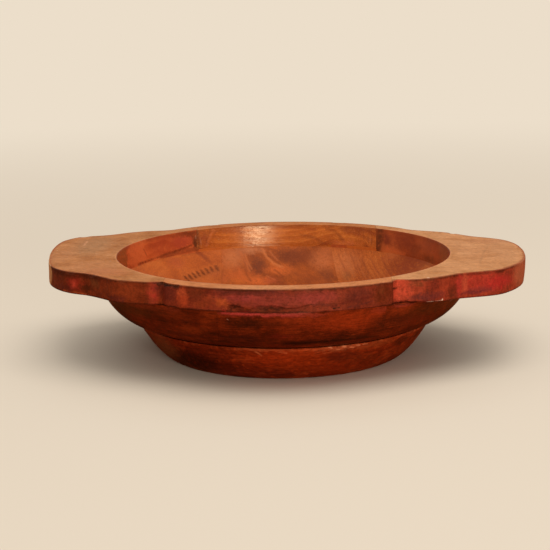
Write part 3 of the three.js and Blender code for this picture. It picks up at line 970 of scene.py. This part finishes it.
# Right ear: sawn edge, from the front joint to the tip
MARKS["right_ear_board", "edge"] = [
    Patch((118, -116, 70), (14, 30, 3), (98, 38, 34), 0.75),
    Patch((125, -112, 78), (5, 30, 4), (104, 36, 26), 0.5),
    Patch((110, -118, 81), (6, 20, 2.4), OLIVE, 0.45),
    Patch((98, -123, 77), (8.5, 30, 9), (204, 76, 48), 0.85, 0.4),
    Patch((163, -88, 75), (24, 40, 9), (172, 48, 35), 0.75, 0.5),
    Patch((138.5, -101, 70), (4.6, 20, 6.5), (84, 32, 15), 0.75),
    Patch((148, -95, 76), (2.4, 30, 8), (200, 86, 54), 0.55),
    Patch((143.6, -97, 74), (2.4, 30, 9), (186, 56, 44), 0.6),
    Patch((162, -90, 69), (12, 30, 3), (110, 46, 44), 0.5),
    Line([(150, -94, 81), (162, -90, 74), (170, -86, 72)], 1.2, (196, 78, 54), 0.4),
    Patch((176, -82, 74), (12, 30, 5), (178, 36, 34), 0.55),
    Patch((199, -30, 77), (14, 44, 14), (184, 98, 62), 0.75, 0.3, 0.15),
    # Dark under the top edge: partly stain, partly painted shade
    Line([(140, -100, 83), (156, -92, 82.8), (172, -85, 82.4), (186, -72, 82.8)], 1.3, UMBER, 0.85),
    Patch((155, -92, 67.6), (13, 30, 1.5), (90, 28, 36), 0.6),
    Line([(92, -127, 83), (92.4, -126.8, 68)], 2.0, (96, 34, 12), 0.9, 0.9, 0.5),
    Patch((93.6, -126, 78.2), (1.1, 10, 1.3), SOOT, 0.9),
    Patch((92.4, -127, 81), (0.8, 10, 0.9), SOOT, 0.8),
    Line([(91, -127, 67), (99, -121, 66.8), (110, -117, 66.4)], 0.8, SOOT, 0.9),
    Line([(115, -117, 66.3), (124, -113, 65.9), (130, -108, 65.4)], 0.3, CHALK, 0.45, 0.5, 0.5),
    Line([(130.2, -108, 65.6), (131.2, -108, 66.8)], 0.7, CHALK, 1.0, 0.3, 0.1),
]

# The band inside the rim, left of the back left joint
MARKS["left_ear_board", "band"] = [
    Patch((-139, -8, 75), (15, 30, 20), (146, 72, 28), 0.95, 0.08, 0.08),
    Patch((-132, 44, 73), (9, 19, 14), (210, 98, 48), 0.8),
    Patch((-112, 82, 75), (16, 22, 8), (168, 66, 34), 0.7),
    Patch((-98, 99, 75), (13, 14, 6), (174, 68, 40), 0.92),
    # These two marks: painted shade close under the top edge
    Patch((-98, 100, 81.6), (16, 16, 2.8), (138, 56, 27), 0.75),
    Patch((-92, 105, 81.5), (9, 12, 3), BROWN, 0.55),
    Line([(-127.4, 55, 76), (-126, 57.5, 70)], 0.7, (132, 50, 24), 0.6),
    Line([(-122, 64, 77), (-121, 66, 72)], 0.6, (138, 52, 26), 0.5),
    Line([(-88.8, 107.4, 81.5), (-88.4, 107.6, 74), (-88, 108, 66)], 2.5, (122, 56, 27), 0.9, 0.7, 0.25),
    Patch((-87.6, 108.2, 71), (2, 6, 5), (92, 46, 22), 0.8, 0.8),
    Line([(-87.4, 108.4, 78.6), (-87.2, 108.4, 76.6)], 0.8, (170, 112, 80), 0.6),
    Line([(-116, 76, 64.8), (-101, 94, 65.9), (-89, 105.4, 66.6)], 2.3, (158, 72, 36), 0.95, 0.7),
    CRACK,
]

# The back rail's band: filled left joint, curved figure, upright grain by the right joint
MARKS["back_rim_board", "band"] = [
    Line([(-86, 109.8, 82), (-85.8, 109.8, 64)], 2.0, (116, 58, 29), 0.9, 0.7, 0.15),
    Line([(-83.6, 111, 82), (-83, 111.2, 67)], 0.5, (194, 122, 84), 0.7),
    Patch((-80.6, 113.4, 77.5), (4, 8, 6.5), (138, 58, 30), 0.75, 0.9),
    Line([(-80.4, 113, 77), (-79.4, 113.4, 68)], 2.0, (166, 76, 38), 0.5, 1.0),
    Line([(-75, 117.6, 82.4), (-78.4, 114.4, 72)], 0.8, (136, 60, 27), 0.6, 0.9),
    Line([(-72, 119.6, 82.4), (-75.4, 117.2, 76), (-78, 114.8, 69)], 1.2, (198, 106, 60), 0.45, 0.9),
    Line([(-69.4, 121, 81.6), (-73, 119, 75.4)], 0.8, (148, 68, 31), 0.5, 0.9),
    Patch((-56, 128, 80), (10, 8, 3), (160, 74, 36), 0.5),
    Line([(8, 138.6, 74.6), (14, 138, 73.4), (22, 136.7, 71.8), (28.8, 135, 67.4)],
         1.3, (142, 62, 20), 0.65, 1.0, 0.4),
    Line([(33, 135.6, 81), (41, 133, 78.4), (44.8, 131.4, 75), (48.7, 129.5, 70.6)],
         1.5, (136, 58, 20), 0.65, 1.0, 0.4),
    Line([(-8, 139.6, 81.4), (10, 139.4, 80.6), (22, 138, 79.6)], 1.2, (160, 70, 24), 0.6),
    Patch((58, 126, 80.5), (15, 10, 3.6), (140, 58, 24), 0.65),
    Patch((50, 128, 68), (14, 10, 2.6), (196, 94, 50), 0.5),
    Line([(71.6, 120, 82), (72.8, 118.6, 70)], 0.55, (142, 64, 27), 0.7),
    Line([(73.4, 118.8, 82), (74.3, 117.4, 72)], 0.45, (196, 112, 66), 0.6),
    Line([(75.2, 117.6, 81.5), (75.8, 116.2, 69)], 0.5, (138, 62, 26), 0.7),
    Line([(67.4, 122.4, 81), (68.4, 121.4, 71)], 0.7, (150, 68, 28), 0.5),
]

# Right of the back right joint: a dark filled strip, a light corner, then dark stain to the end
MARKS["right_ear_board", "band"] = [
    Patch((102, 93, 76), (12, 14, 9), (134, 56, 33), 0.6),
    # These two marks: a light corner of stain, painted brighter to make up for the shade the upright band
    # gets
    Patch((87, 106.6, 66), (6, 7, 4.6), (196, 96, 46), 0.8, 0.7),
    Line([(90, 104.6, 68), (96, 98.6, 66.2), (104, 89, 64)], 2.5, (208, 100, 50), 0.9, 0.7, 0.25),
    Patch((89, 106, 75.5), (6, 8, 5.5), (128, 54, 32), 0.9, 0.7),
    Line([(82.4, 112, 82), (82, 111.8, 75), (81, 112, 66)], 4.2, (96, 46, 22), 0.85, 0.6, 0.3),
    Line([(96, 100, 80), (101, 94, 71)], 0.8, (96, 36, 24), 0.5),
    Line([(104, 92, 82), (112, 80, 69)], 1.4, (158, 70, 40), 0.25, 1.0),
    Line([(113, 82, 82), (121, 66, 72)], 1.4, (158, 70, 38), 0.22, 1.0),
    Patch((124, 61, 77), (9, 17, 5), (176, 88, 50), 0.6, 0.9),
    Patch((115, 77, 68), (6, 9, 4), (170, 82, 44), 0.5, 0.9),
    Patch((127, 56, 66.5), (8, 16, 3.6), (112, 50, 20), 0.75, 0.9),
    Patch((139, 24, 79), (7, 22, 12), (146, 86, 46), 0.65),
]

# Left board in the dish: a brown sliver along the crease, a dark streak and a row of tool marks
MARKS["left_wall_board", "dish"] = [
    CRACK,
    streak([(-98, 96, 63.6), (-90, 103.6, 63.8), (-84, 108.5, 63.8)], 1.8, (148, 70, 34), 0.51),
    Line([(-87, 107, 64.4), (-83, 107.2, 61.8), (-77, 105, 57.6)], 2.2, (132, 54, 24), 0.75, 1.0, 0.4),
    streak([(-83.4, 107, 62.4), (-78, 104.6, 58), (-72.6, 103.4, 54.4)], 1.2, (150, 66, 30), 0.55),
    cloud((-104, 84, 58), (8, 10, 5), (176, 78, 46)),
    Line([(-92, 70, 46), (-80, 84.6, 46.8), (-66, 101, 50)], 2.6, (140, 70, 30), 0.5, 1.0, 0.4),
    *tool_marks(8, (142.5, 124), (44.9, 48.6), 2.7),
    cloud((-70, 96, 46), (6, 12, 4), (170, 84, 44), 0.4),
    streak([(-64.2, 119.5, 63), (-62.6, 104, 50.6), (-60.6, 86, 39)], 0.6, (150, 70, 34), 0.42),
]

# Middle board in the dish: dark clouds with bright flames between them
MARKS["back_wall_board", "dish"] = [
    Patch((-58, 114, 56), (12, 24, 14), (190, 92, 40), 0.75, 0.8, 0.4),
    Patch((-32, 115, 49), (8, 13, 9), (112, 48, 26), 0.82, 0.7),
    Patch((0, 128.5, 57), (17, 9, 6.5), (112, 46, 22), 0.9, 0.7),
    cloud((12, 127, 55), (14, 12, 8), (138, 62, 30), 0.6),
    cloud((36, 104, 42), (9, 8, 4), (122, 62, 38)),
    Patch((31, 120, 54), (11, 16, 9), (200, 108, 60), 0.8, 0.9, 0.2),
    cloud((5, 100, 37), (19, 7, 3.4), (138, 58, 22), 0.6),
    cloud((-16, 107, 41.5), (9, 4, 2.6), (136, 56, 18), 0.6),
    cloud((-60, 90, 42), (7, 7, 4), (202, 96, 44)),
    # These two marks: painted reflection, the band's highlight carried on over the dish's top edge
    Patch((-38, 131, 62), (10, 8, 3), (214, 132, 84), 0.6, 1.0, 0.2),
    Patch((-54, 118, 57), (8, 14, 8), (198, 122, 74), 0.4, 1.0, 0.3),
    cloud((24, 98, 40), (14, 12, 6), (138, 62, 31)),
    cloud((-44, 100, 43), (12, 9, 6), (200, 92, 38), 0.8),
    cloud((-28, 97, 39), (9, 8, 4), (214, 100, 42), 0.95),
    cloud((-10, 112, 47), (12, 7, 5), (212, 100, 42), 0.95),
    cloud((-16, 100, 38.6), (7, 5, 3), (192, 84, 44), 0.6),
    cloud((12, 108, 44), (10, 8, 5), (166, 76, 34)),
    cloud((-48, 126, 61), (5, 6, 4), (170, 92, 54)),
    streak([(-47.6, 125.4, 60.6), (-43, 118.4, 53.6), (-38, 108.4, 45.4)], 1.2, (194, 98, 48), 0.68),
    streak([(-43.6, 124.6, 58.8), (-39.4, 116.4, 51.4), (-36, 111, 47)], 0.9, (198, 104, 54), 0.64),
    streak([(-45.2, 121, 57), (-40.8, 111.6, 48.6)], 0.7, (140, 66, 34), 0.51),
    streak([(-27.4, 133, 61.8), (-22.6, 126, 55), (-15.4, 120, 50), (-8, 117.2, 47.6)],
           1.4, (206, 112, 58), 0.72),
    streak([(-20.6, 132, 60), (-16.4, 127.4, 56), (-12.8, 124, 53)], 0.9, (190, 98, 52), 0.59),
    streak([(-24.4, 130.4, 60), (-18.6, 124.8, 54.4), (-11, 121, 50.8)], 0.8, (136, 62, 26), 0.59),
    streak([(-14.6, 113.6, 45.6), (-10, 110, 43), (-6.4, 106.6, 41)], 1.1, (132, 58, 24), 0.64),
    streak([(-42, 108, 46.4), (-39.8, 103, 43), (-36, 97, 39)], 1.3, (140, 62, 26), 0.64),
    streak([(-22, 106, 42), (-14, 102, 39)], 0.9, (204, 104, 56), 0.51),
    streak([(-48, 110, 49), (-46, 103, 45)], 1.4, (198, 92, 40), 0.59),
    streak([(38.4, 128.8, 61.4), (43.6, 116, 52.8), (50, 92, 40)], 0.9, (132, 60, 30), 0.51),
]

# Right board in the dish: straight streaks, redder to the right
MARKS["right_wall_board", "dish"] = [
    Line([(102, 94, 62.4), (119, 70, 62), (131, 44, 62), (138.6, 6, 62)], 1.6, (140, 62, 30), 0.7, 1.0),
    Patch((47, 114, 52), (16, 18, 10), (202, 112, 62), 0.8, 0.9, 0.3),
    cloud((53, 99, 44), (4, 8, 4), (140, 84, 46), 0.55),
    Patch((110, 75, 58), (20, 26, 12), (140, 53, 22), 0.85, 0.8, 0.4),
    cloud((92, 99, 61), (8, 8, 5), (186, 92, 48)),
    streak([(44.4, 124, 58.4), (49, 112, 50.6), (54, 98, 43.6)], 0.9, (148, 70, 38), 0.51),
    streak([(50, 124, 59.6), (55, 110, 50.8), (60, 94, 43)], 1.2, (186, 104, 58), 0.47),
    streak([(56, 120, 58.8), (60, 108, 51.6), (64, 94, 44.6)], 0.8, (142, 66, 34), 0.47),
    streak([(66, 112, 57), (70, 98, 49.6), (73, 88, 45)], 1.0, (136, 62, 32), 0.51),
    streak([(61, 114, 56.4), (66, 100, 49), (69, 90, 44.6)], 1.0, (180, 94, 50), 0.42),
    streak([(74, 108, 58), (79, 94, 51), (82, 84, 47)], 0.9, (146, 66, 36), 0.42),
    streak([(83, 104, 61), (88, 90, 54), (91, 80, 50)], 0.9, (134, 58, 32), 0.38),
]

# The belly, left, front and right
MARKS["left_wall_board", "outside"] = [
    Patch((-88, -128, 60), (13, 40, 3.4), (62, 24, 8), 0.6),
    Patch((-77, -133, 63.6), (7, 30, 2.6), (124, 46, 26), 0.6),
    # Painted reflection of a warm table top on the left of the belly
    Patch((-112, -102, 57), (16, 40, 6), (92, 44, 14), 0.6),
    Patch((-63, -134, 47.6), (10, 30, 4), (132, 48, 14), 0.7),
    Patch((-72, -128, 42), (14, 30, 3), (66, 18, 10), 0.5),
    Line([(-80, -134, 65.6), (-66, -142, 65.7), (-54, -147, 65.7)], 0.5, (54, 16, 8), 0.7),
    Patch((-102, -112, 63), (14, 30, 3), (150, 58, 30), 0.6, 0.8),
    Patch((-78, -132, 59), (14, 30, 3.4), (124, 42, 14), 0.6, 0.8),
]

MARKS["front_wall_board", "outside"] = [
    Patch((60, -140, 57), (28, 40, 8), (160, 53, 17), 0.75, 0.6),
    Patch((24, -150, 58), (22, 40, 7), (132, 42, 15), 0.55, 0.6),
    Patch((-20, -152, 57), (15, 40, 4.4), (54, 18, 6), 0.8),
    Patch((6, -152, 57.4), (12, 40, 3), (78, 26, 7), 0.6),
    Patch((18, -152, 60.4), (16, 30, 2.8), (150, 52, 19), 0.75, 0.8),
    # Painted shade on the belly's underside above the ledge
    Line([(-52, -132, 37.6), (-16, -140, 37), (16, -139, 37.4), (40, -134, 38)], 2.6, (38, 8, 2), 0.6, 0.9),
    Patch((-26, -144, 46), (20, 30, 4), (54, 12, 3), 0.5, 0.8),
    Patch((81, -131, 61), (8, 20, 4), (152, 50, 17), 0.75, 0.9),
    # The next five marks: pink-red stain on the wall's top edge under the flake, brightened as a painted
    # highlight where the edge catches light
    Patch((-30, -150, 64.6), (12, 30, 1.8), (136, 44, 32), 0.7),
    Patch((4, -156, 64.6), (26, 30, 1.8), (150, 50, 38), 0.7),
    Line([(-36, -152, 64.9), (-22, -154.6, 65.2), (-8, -156, 65.2)], 0.8, (186, 62, 52), 0.8),
    Line([(-6, -156, 64.4), (12, -156, 64.6), (24, -154, 64.8)], 1.0, (182, 62, 50), 0.7),
    Patch((30, -152, 64), (12, 30, 1.6), (156, 58, 38), 0.6),
    Patch((8, -146, 45.4), (10, 30, 2.4), (116, 32, 16), 0.6),
    Patch((-22, -144, 43), (18, 30, 3), (60, 17, 10), 0.6),
    # These two lines: painted shade on the belly's underside above the ledge
    Line([(10, -140, 37.4), (30, -136.6, 38.6), (50, -131, 40), (70, -121, 41)],
         3.0, (40, 12, 5), 0.9, 0.8),
    Line([(46, -134, 43.6), (62, -128, 43), (80, -113, 39)], 2.2, (64, 21, 7), 0.75),
    Line([(58, -138, 60), (74, -132, 60.6)], 1.4, (168, 62, 26), 0.5),
    Line([(34, -148, 52), (60, -140, 51)], 1.0, (156, 56, 20), 0.45),
    Line([(-32.8, -151, 60.4), (-31, -151.4, 59)], 0.22, CHALK, 0.5, 0.8, 0.1),
    Patch((86, -126, 63.4), (9, 20, 2.4), (150, 56, 36), 0.5, 0.9),
    Patch((88, -125, 51), (11, 30, 7), (74, 24, 8), 0.95, 0.9),
]

MARKS["right_wall_board", "outside"] = [
    Patch((99, -116, 52), (11, 30, 6), (74, 24, 9), 0.75, 0.9),
    Patch((99, -120, 64), (8, 20, 1.3), (160, 58, 42), 0.65),
    Patch((98, -118, 60.6), (11, 20, 3.4), (148, 52, 19), 0.7, 0.9),
    Patch((110, -102, 49.6), (12, 30, 5), (112, 34, 12), 0.5),
    Patch((120, -90, 57), (18, 40, 6), (96, 40, 12), 0.5),
    # Painted shade on the belly's underside above the ledge
    Line([(96, -101, 39.6), (108, -92, 43), (118, -84, 45)], 2.0, (66, 20, 7), 0.7),
    Line([(94, -122, 65.9), (104, -116, 65.9), (112, -109, 65.9)], 0.9, SOOT, 0.9),
    Patch((139, -65, 57.5), (1.3, 6, 1.1), (132, 106, 92), 0.8, 0.4, 0.2),
]

# The foot, from the front
MARKS["front_base_board", "outside"] = [
    # Dark on the left of the foot: partly stain, partly painted shade
    Patch((-66, -88, 12), (32, 40, 11), (54, 12, 3), 1.0, 0.6),
    # Painted reflection of a warm table top on the foot's left edge
    Patch((-94, -74, 17), (12, 40, 12), (138, 72, 38), 0.85, 0.6),
    Patch((16, -118, 20), (38, 40, 8), (160, 50, 12), 0.6, 0.6),
    Patch((50, -108, 20), (12, 30, 5), (84, 26, 12), 0.6),
    Patch((66, -100, 15), (16, 30, 6), (118, 42, 14), 0.4),
    Patch((99, -70, 24), (6, 20, 4), (70, 24, 8), 0.75),
    Patch((-36, -114, 27), (16, 30, 2.4), (130, 44, 12), 0.4),
    # Painted highlight on the ledge's corner
    Patch((-10, -120, 29.4), (22, 20, 1.6), (180, 82, 42), 0.6, 0.6, 0.6),
    Patch((-50, -110, 24), (16, 30, 5), (86, 20, 5), 0.7, 0.8),
    Patch((2, -120, 22), (14, 30, 5), (176, 56, 18), 0.5, 0.8),
    Patch((50, -106, 10), (16, 30, 5), (150, 44, 12), 0.5, 0.8),
    # Painted highlight on the ledge's corner
    Patch((52, -112, 28.4), (20, 20, 2.6), (190, 96, 54), 0.6, 0.6, 0.9),
    # Painted highlights: short glints on the ledge and the foot
    glint([(43, -116.4, 30), (45, -115.6, 29.2)], 0.7, (228, 140, 92)),
    glint([(48, -113.5, 27.8), (51.4, -112, 27.4)], 0.6, (220, 126, 80)),
    glint([(53, -112.5, 29.9), (55.6, -111.2, 29)], 0.7, (228, 140, 92)),
    glint([(58.6, -108.5, 28.2), (61.6, -107, 27.6)], 0.6, (220, 126, 80)),
    glint([(64, -106.1, 29.2), (66.4, -105, 28.8)], 0.7, (226, 136, 88)),
    glint([(69, -103.3, 29.3), (72.4, -101.4, 28.6)], 0.6, (220, 126, 80), 0.7),
    glint([(-14, -122.2, 27.4), (-9.6, -121, 24)], 0.8, (206, 108, 62), 0.7),
    glint([(4, -122.3, 28.4), (10, -122, 26.6)], 0.8, (206, 108, 62), 0.6),
    glint([(104, -60, 25), (110, -51, 25.6)], 1.0, (206, 116, 68), 0.7),
    Patch((80, -93, 27), (16, 20, 3), (158, 70, 30), 0.5),
    Patch((-20, -110, 6), (40, 30, 4), (88, 24, 14), 0.5),
    Line([(52, -110, 27), (62, -103, 21), (70, -95, 14)], 1.2, (92, 30, 12), 0.5),
    Line([(64, -106, 27), (74, -97, 21), (80, -90, 15)], 1.2, (150, 62, 24), 0.5),
]

# Bare tops of the ears and rails
MARKS["left_ear_board", "top"] = [
    Patch((-168, 30, 84), (16, 44, 20), (166, 124, 86), 0.55, 0.6),
    Patch((-188, -20, 84), (12, 40, 20), (196, 130, 84), 0.5, 0.6),
    Patch((-150, -70, 84), (26, 24, 20), (192, 124, 80), 0.4),
    Patch((-136, -92, 84), (18, 16, 20), (192, 112, 70), 0.5),
    Line([(-170, -33, 84), (-160, -34.6, 84), (-149, -34, 84)], 0.45, (120, 78, 50), 0.7),
    Line([(-176.6, 30, 84), (-177.6, 50, 84)], 1.1, (216, 150, 108), 0.7, 0.9),
    Patch((-143, 20, 84), (4, 30, 20), (168, 112, 70), 0.4),
]

MARKS["right_ear_board", "top"] = [
    Patch((160, 10, 84), (14, 40, 20), (206, 144, 98), 0.4, 0.6),
    Patch((186, 6, 84), (12, 50, 20), (188, 130, 88), 0.4, 0.6),
    Patch((178, 48, 84), (20, 10, 20), (186, 120, 80), 0.4),
    Patch((146, -56, 84), (20, 20, 20), (212, 148, 98), 0.5),
    Line([(176, 32, 84), (170, -4, 84), (162.6, -52, 84)], 0.9, (168, 114, 74), 0.4, 0.9),
    Line([(176, 32, 84), (190, 36, 84)], 0.5, (160, 104, 66), 0.5),
    Patch((119, -111.6, 84), (1.3, 1.2, 4), CHALK, 0.8, 0.3, 0.2),
]

MARKS["front_rim_board", "top"] = [
    Line([(-76, -120, 84), (-50, -134, 84), (-20, -141.5, 84)], 0.6, (166, 98, 58), 0.5),
    Patch((-10, -149, 84), (40, 6, 20), (212, 146, 98), 0.5),
]


# The lip of a wall board looks like the band of the rim board above it, with the ends of its neighbours
LIPS = {
    "left_wall_board": ("left_ear_board", [
        Patch((-62, 122, 65), (24, 40, 6), (194, 96, 38), 1.0, 0.08, 0.0),
    ]),
    "back_wall_board": ("back_rim_board", []),
    "front_wall_board": ("front_rim_board", []),
    "right_wall_board": ("right_ear_board", [
        Patch((66, 120, 65), (14, 30, 6), (198, 98, 38), 1.0, 0.08, 0.0),
        # A light corner of stain, painted brighter to make up for the shade the upright band gets
        Patch((94, 101, 65), (10, 12, 5), (210, 106, 52), 1.0, 0.6),
    ]),
}


def marks_of(name, zone):
    """A zone's marks, if it has any"""
    return MARKS.get((name, zone), ())


def rim_materials(name):
    """Materials of a rim board, in the order of its zones"""
    board, zones = BOARDS[name], ZONES[name]
    made = [
        wood(name + "_" + label, board, zones[zone], marks_of(name, label), TOUCHES[label])
        for zone, label in ((BAND, "band"), (TOP, "top"), (EDGE, "edge"))
    ]
    return made + [wood(name + "_under", board, DARK_UNDER), wood(name + "_joint", board, BARE)]


def turned_materials(name):
    """Materials of a wall or base board, in the order of its zones"""
    board, zones = BOARDS[name], ZONES.get(name, BASE_ZONES)
    touch = foot_mottles_and_glints if "base" in name else worn_turning
    made = [
        wood(name + "_outside", board, zones[OUTSIDE], marks_of(name, "outside"), touch),
        wood(name + "_dish", board, zones[DISH], marks_of(name, "dish")),
        wood(name + "_foot", board, FOOT_WOOD),
        wood(name + "_hidden", board, BARE),
    ]
    if name in LIPS:
        above, ends = LIPS[name]
        marks = [*marks_of(above, "band"), *ends]
        made.append(wood(name + "_lip", BOARDS[above], ZONES[above][BAND], marks))
    return made


def add_piece(node, mesh, materials):
    """Puts a board's mesh in the scene in place of its solid"""
    for material in materials:
        mesh.materials.append(material)
    piece = bpy.data.objects.new(node + "_wood", mesh)
    bpy.context.scene.collection.objects.link(piece)
    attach(piece, "root")
    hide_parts(node)


def build_bowl():
    """Makes every board, in place of the solid of the same name"""
    rim = ring_boards(rim_mesh(), RIM_BOARDS, RIM_LEFT_CUT, RIM_RIGHT_CUT, RIM_SEAM, JOINT)
    wall = ring_boards(wall_mesh(), WALL_BOARDS, WALL_LEFT_CUT, WALL_RIGHT_CUT, WALL_SEAM, HIDDEN)
    for name, mesh in rim.items():
        add_piece(name, mesh, rim_materials(name))
    for name, mesh in wall.items():
        add_piece(name, mesh, turned_materials(name))
    for name, mesh in base_boards(base_mesh()).items():
        add_piece(name, mesh, turned_materials(name))


# The room behind the bowl, the floor as the camera sees it, and the light that a table would throw back
BACKDROP = linear((236, 222, 202))
FLOOR_COLOUR = linear((228, 212, 190))
TABLE_GLOW = linear((168, 104, 56))

# Where the floor fades into the backdrop: from and to, in metres from its middle, and by what share
FLOOR_FADES = ((0.1, 0.26, 0.42), (0.26, 2.2, 0.58))

ROOM_LIGHT = (1.0, 0.94, 0.87, 1.0)
ROOM_STRENGTH = 0.46


def for_camera(tree, seen, otherwise):
    """One shader for what the camera sees directly, and another for every other ray"""
    path = tree.nodes.new("ShaderNodeLightPath")
    blend = tree.nodes.new("ShaderNodeMixShader")
    tree.links.new(path.outputs["Is Camera Ray"], blend.inputs[0])
    tree.links.new(otherwise, blend.inputs[1])
    tree.links.new(seen, blend.inputs[2])
    return blend.outputs[0]


def shader(tree, kind, colour):
    """A plain shader of one colour"""
    node = tree.nodes.new(kind)
    node.inputs["Color"].default_value = colour
    return node.outputs[0]


def build_floor():
    """A plain pale floor. The light it throws back is that of a warm table top."""
    bpy.ops.mesh.primitive_plane_add(size=16, location=(0, 0, -0.05 * MM))
    floor = bpy.context.object
    floor.name = "floor"
    material = bpy.data.materials.new("floor")
    material.use_nodes = True
    tree = material.node_tree
    nodes, links = tree.nodes, tree.links
    nodes.clear()
    place = nodes.new("ShaderNodeTexCoord")
    away = nodes.new("ShaderNodeVectorMath")
    away.operation = "LENGTH"
    links.new(place.outputs["Object"], away.inputs[0])
    total = nodes.new("ShaderNodeMath")
    for slot, (start, end, share) in enumerate(FLOOR_FADES):
        fade = nodes.new("ShaderNodeMapRange")
        fade.interpolation_type = "SMOOTHSTEP"
        fade.inputs["From Min"].default_value = start
        fade.inputs["From Max"].default_value = end
        fade.inputs["To Max"].default_value = share
        links.new(away.outputs["Value"], fade.inputs["Value"])
        links.new(fade.outputs["Result"], total.inputs[slot])
    seen = nodes.new("ShaderNodeMixShader")
    links.new(total.outputs[0], seen.inputs[0])
    links.new(shader(tree, "ShaderNodeBsdfDiffuse", FLOOR_COLOUR), seen.inputs[1])
    links.new(shader(tree, "ShaderNodeEmission", BACKDROP), seen.inputs[2])
    output = nodes.new("ShaderNodeOutputMaterial")
    glow = shader(tree, "ShaderNodeBsdfDiffuse", TABLE_GLOW)
    links.new(for_camera(tree, seen.outputs[0], glow), output.inputs["Surface"])
    floor.data.materials.append(material)


def area_light(name, place, target, size, power):
    """A soft, rectangular light: place and size in metres, power in watts"""
    light = bpy.data.lights.new(name, "AREA")
    light.shape = "RECTANGLE"
    light.size, light.size_y = size
    light.energy = power
    lamp = bpy.data.objects.new(name, light)
    lamp.location = place
    lamp.rotation_euler = (Vector(target) - Vector(place)).to_track_quat("-Z", "Y").to_euler()
    bpy.context.scene.collection.objects.link(lamp)


def build_light():
    """A pale room, a window low behind the camera that the band mirrors, and a soft ceiling"""
    world = bpy.data.worlds.new("soft_room")
    bpy.context.scene.world = world
    world.use_nodes = True
    tree = world.node_tree
    room = tree.nodes["Background"]
    room.inputs["Color"].default_value = ROOM_LIGHT
    room.inputs["Strength"].default_value = ROOM_STRENGTH
    backdrop = shader(tree, "ShaderNodeBackground", BACKDROP)
    tree.links.new(for_camera(tree, backdrop, room.outputs[0]), tree.nodes["World Output"].inputs["Surface"])
    area_light("window", (0.94, -2.31, 0.3), (0, 0, 0.06), (0.75, 0.55), 24)
    area_light("ceiling", (0.4, -0.5, 2.2), (0, 0, 0), (2.2, 1.8), 32)


# The camera as fitted to the photograph: yaw of the bowl, downward pitch and roll in radians, focal
# length in photograph pixels
YAW = math.radians(4.0)
PITCH = 0.19862
ROLL = -0.01382
FOCAL_PIXELS = 1435.76
PHOTO_PIXELS = 550
CAMERA_PLACE = Vector((-6.61, -1200.0, 305.27)) * MM


def build_camera():
    """The camera, turned as the bowl stood to it, tilted down and rolled"""
    data = bpy.data.cameras.new("camera")
    data.sensor_width = 36
    data.lens = data.sensor_width * FOCAL_PIXELS / PHOTO_PIXELS
    camera = bpy.data.objects.new("camera", data)
    turn = Matrix.Rotation(YAW, 4, "Z")
    ahead = Vector((0, math.cos(PITCH), -math.sin(PITCH)))
    right = Vector((1, 0, 0))
    up = right.cross(ahead)
    tilted_right = right * math.cos(ROLL) + up * math.sin(ROLL)
    tilted_up = up * math.cos(ROLL) - right * math.sin(ROLL)
    facing = Matrix((tilted_right, tilted_up, -ahead)).transposed().to_4x4()
    camera.matrix_world = turn @ Matrix.Translation(CAMERA_PLACE) @ facing
    bpy.context.scene.collection.objects.link(camera)
    bpy.context.scene.camera = camera


build_camera()
build_light()
build_floor()
build_bowl()

bpy.context.scene.view_settings.view_transform = "Standard"
bpy.context.view_layer.update()
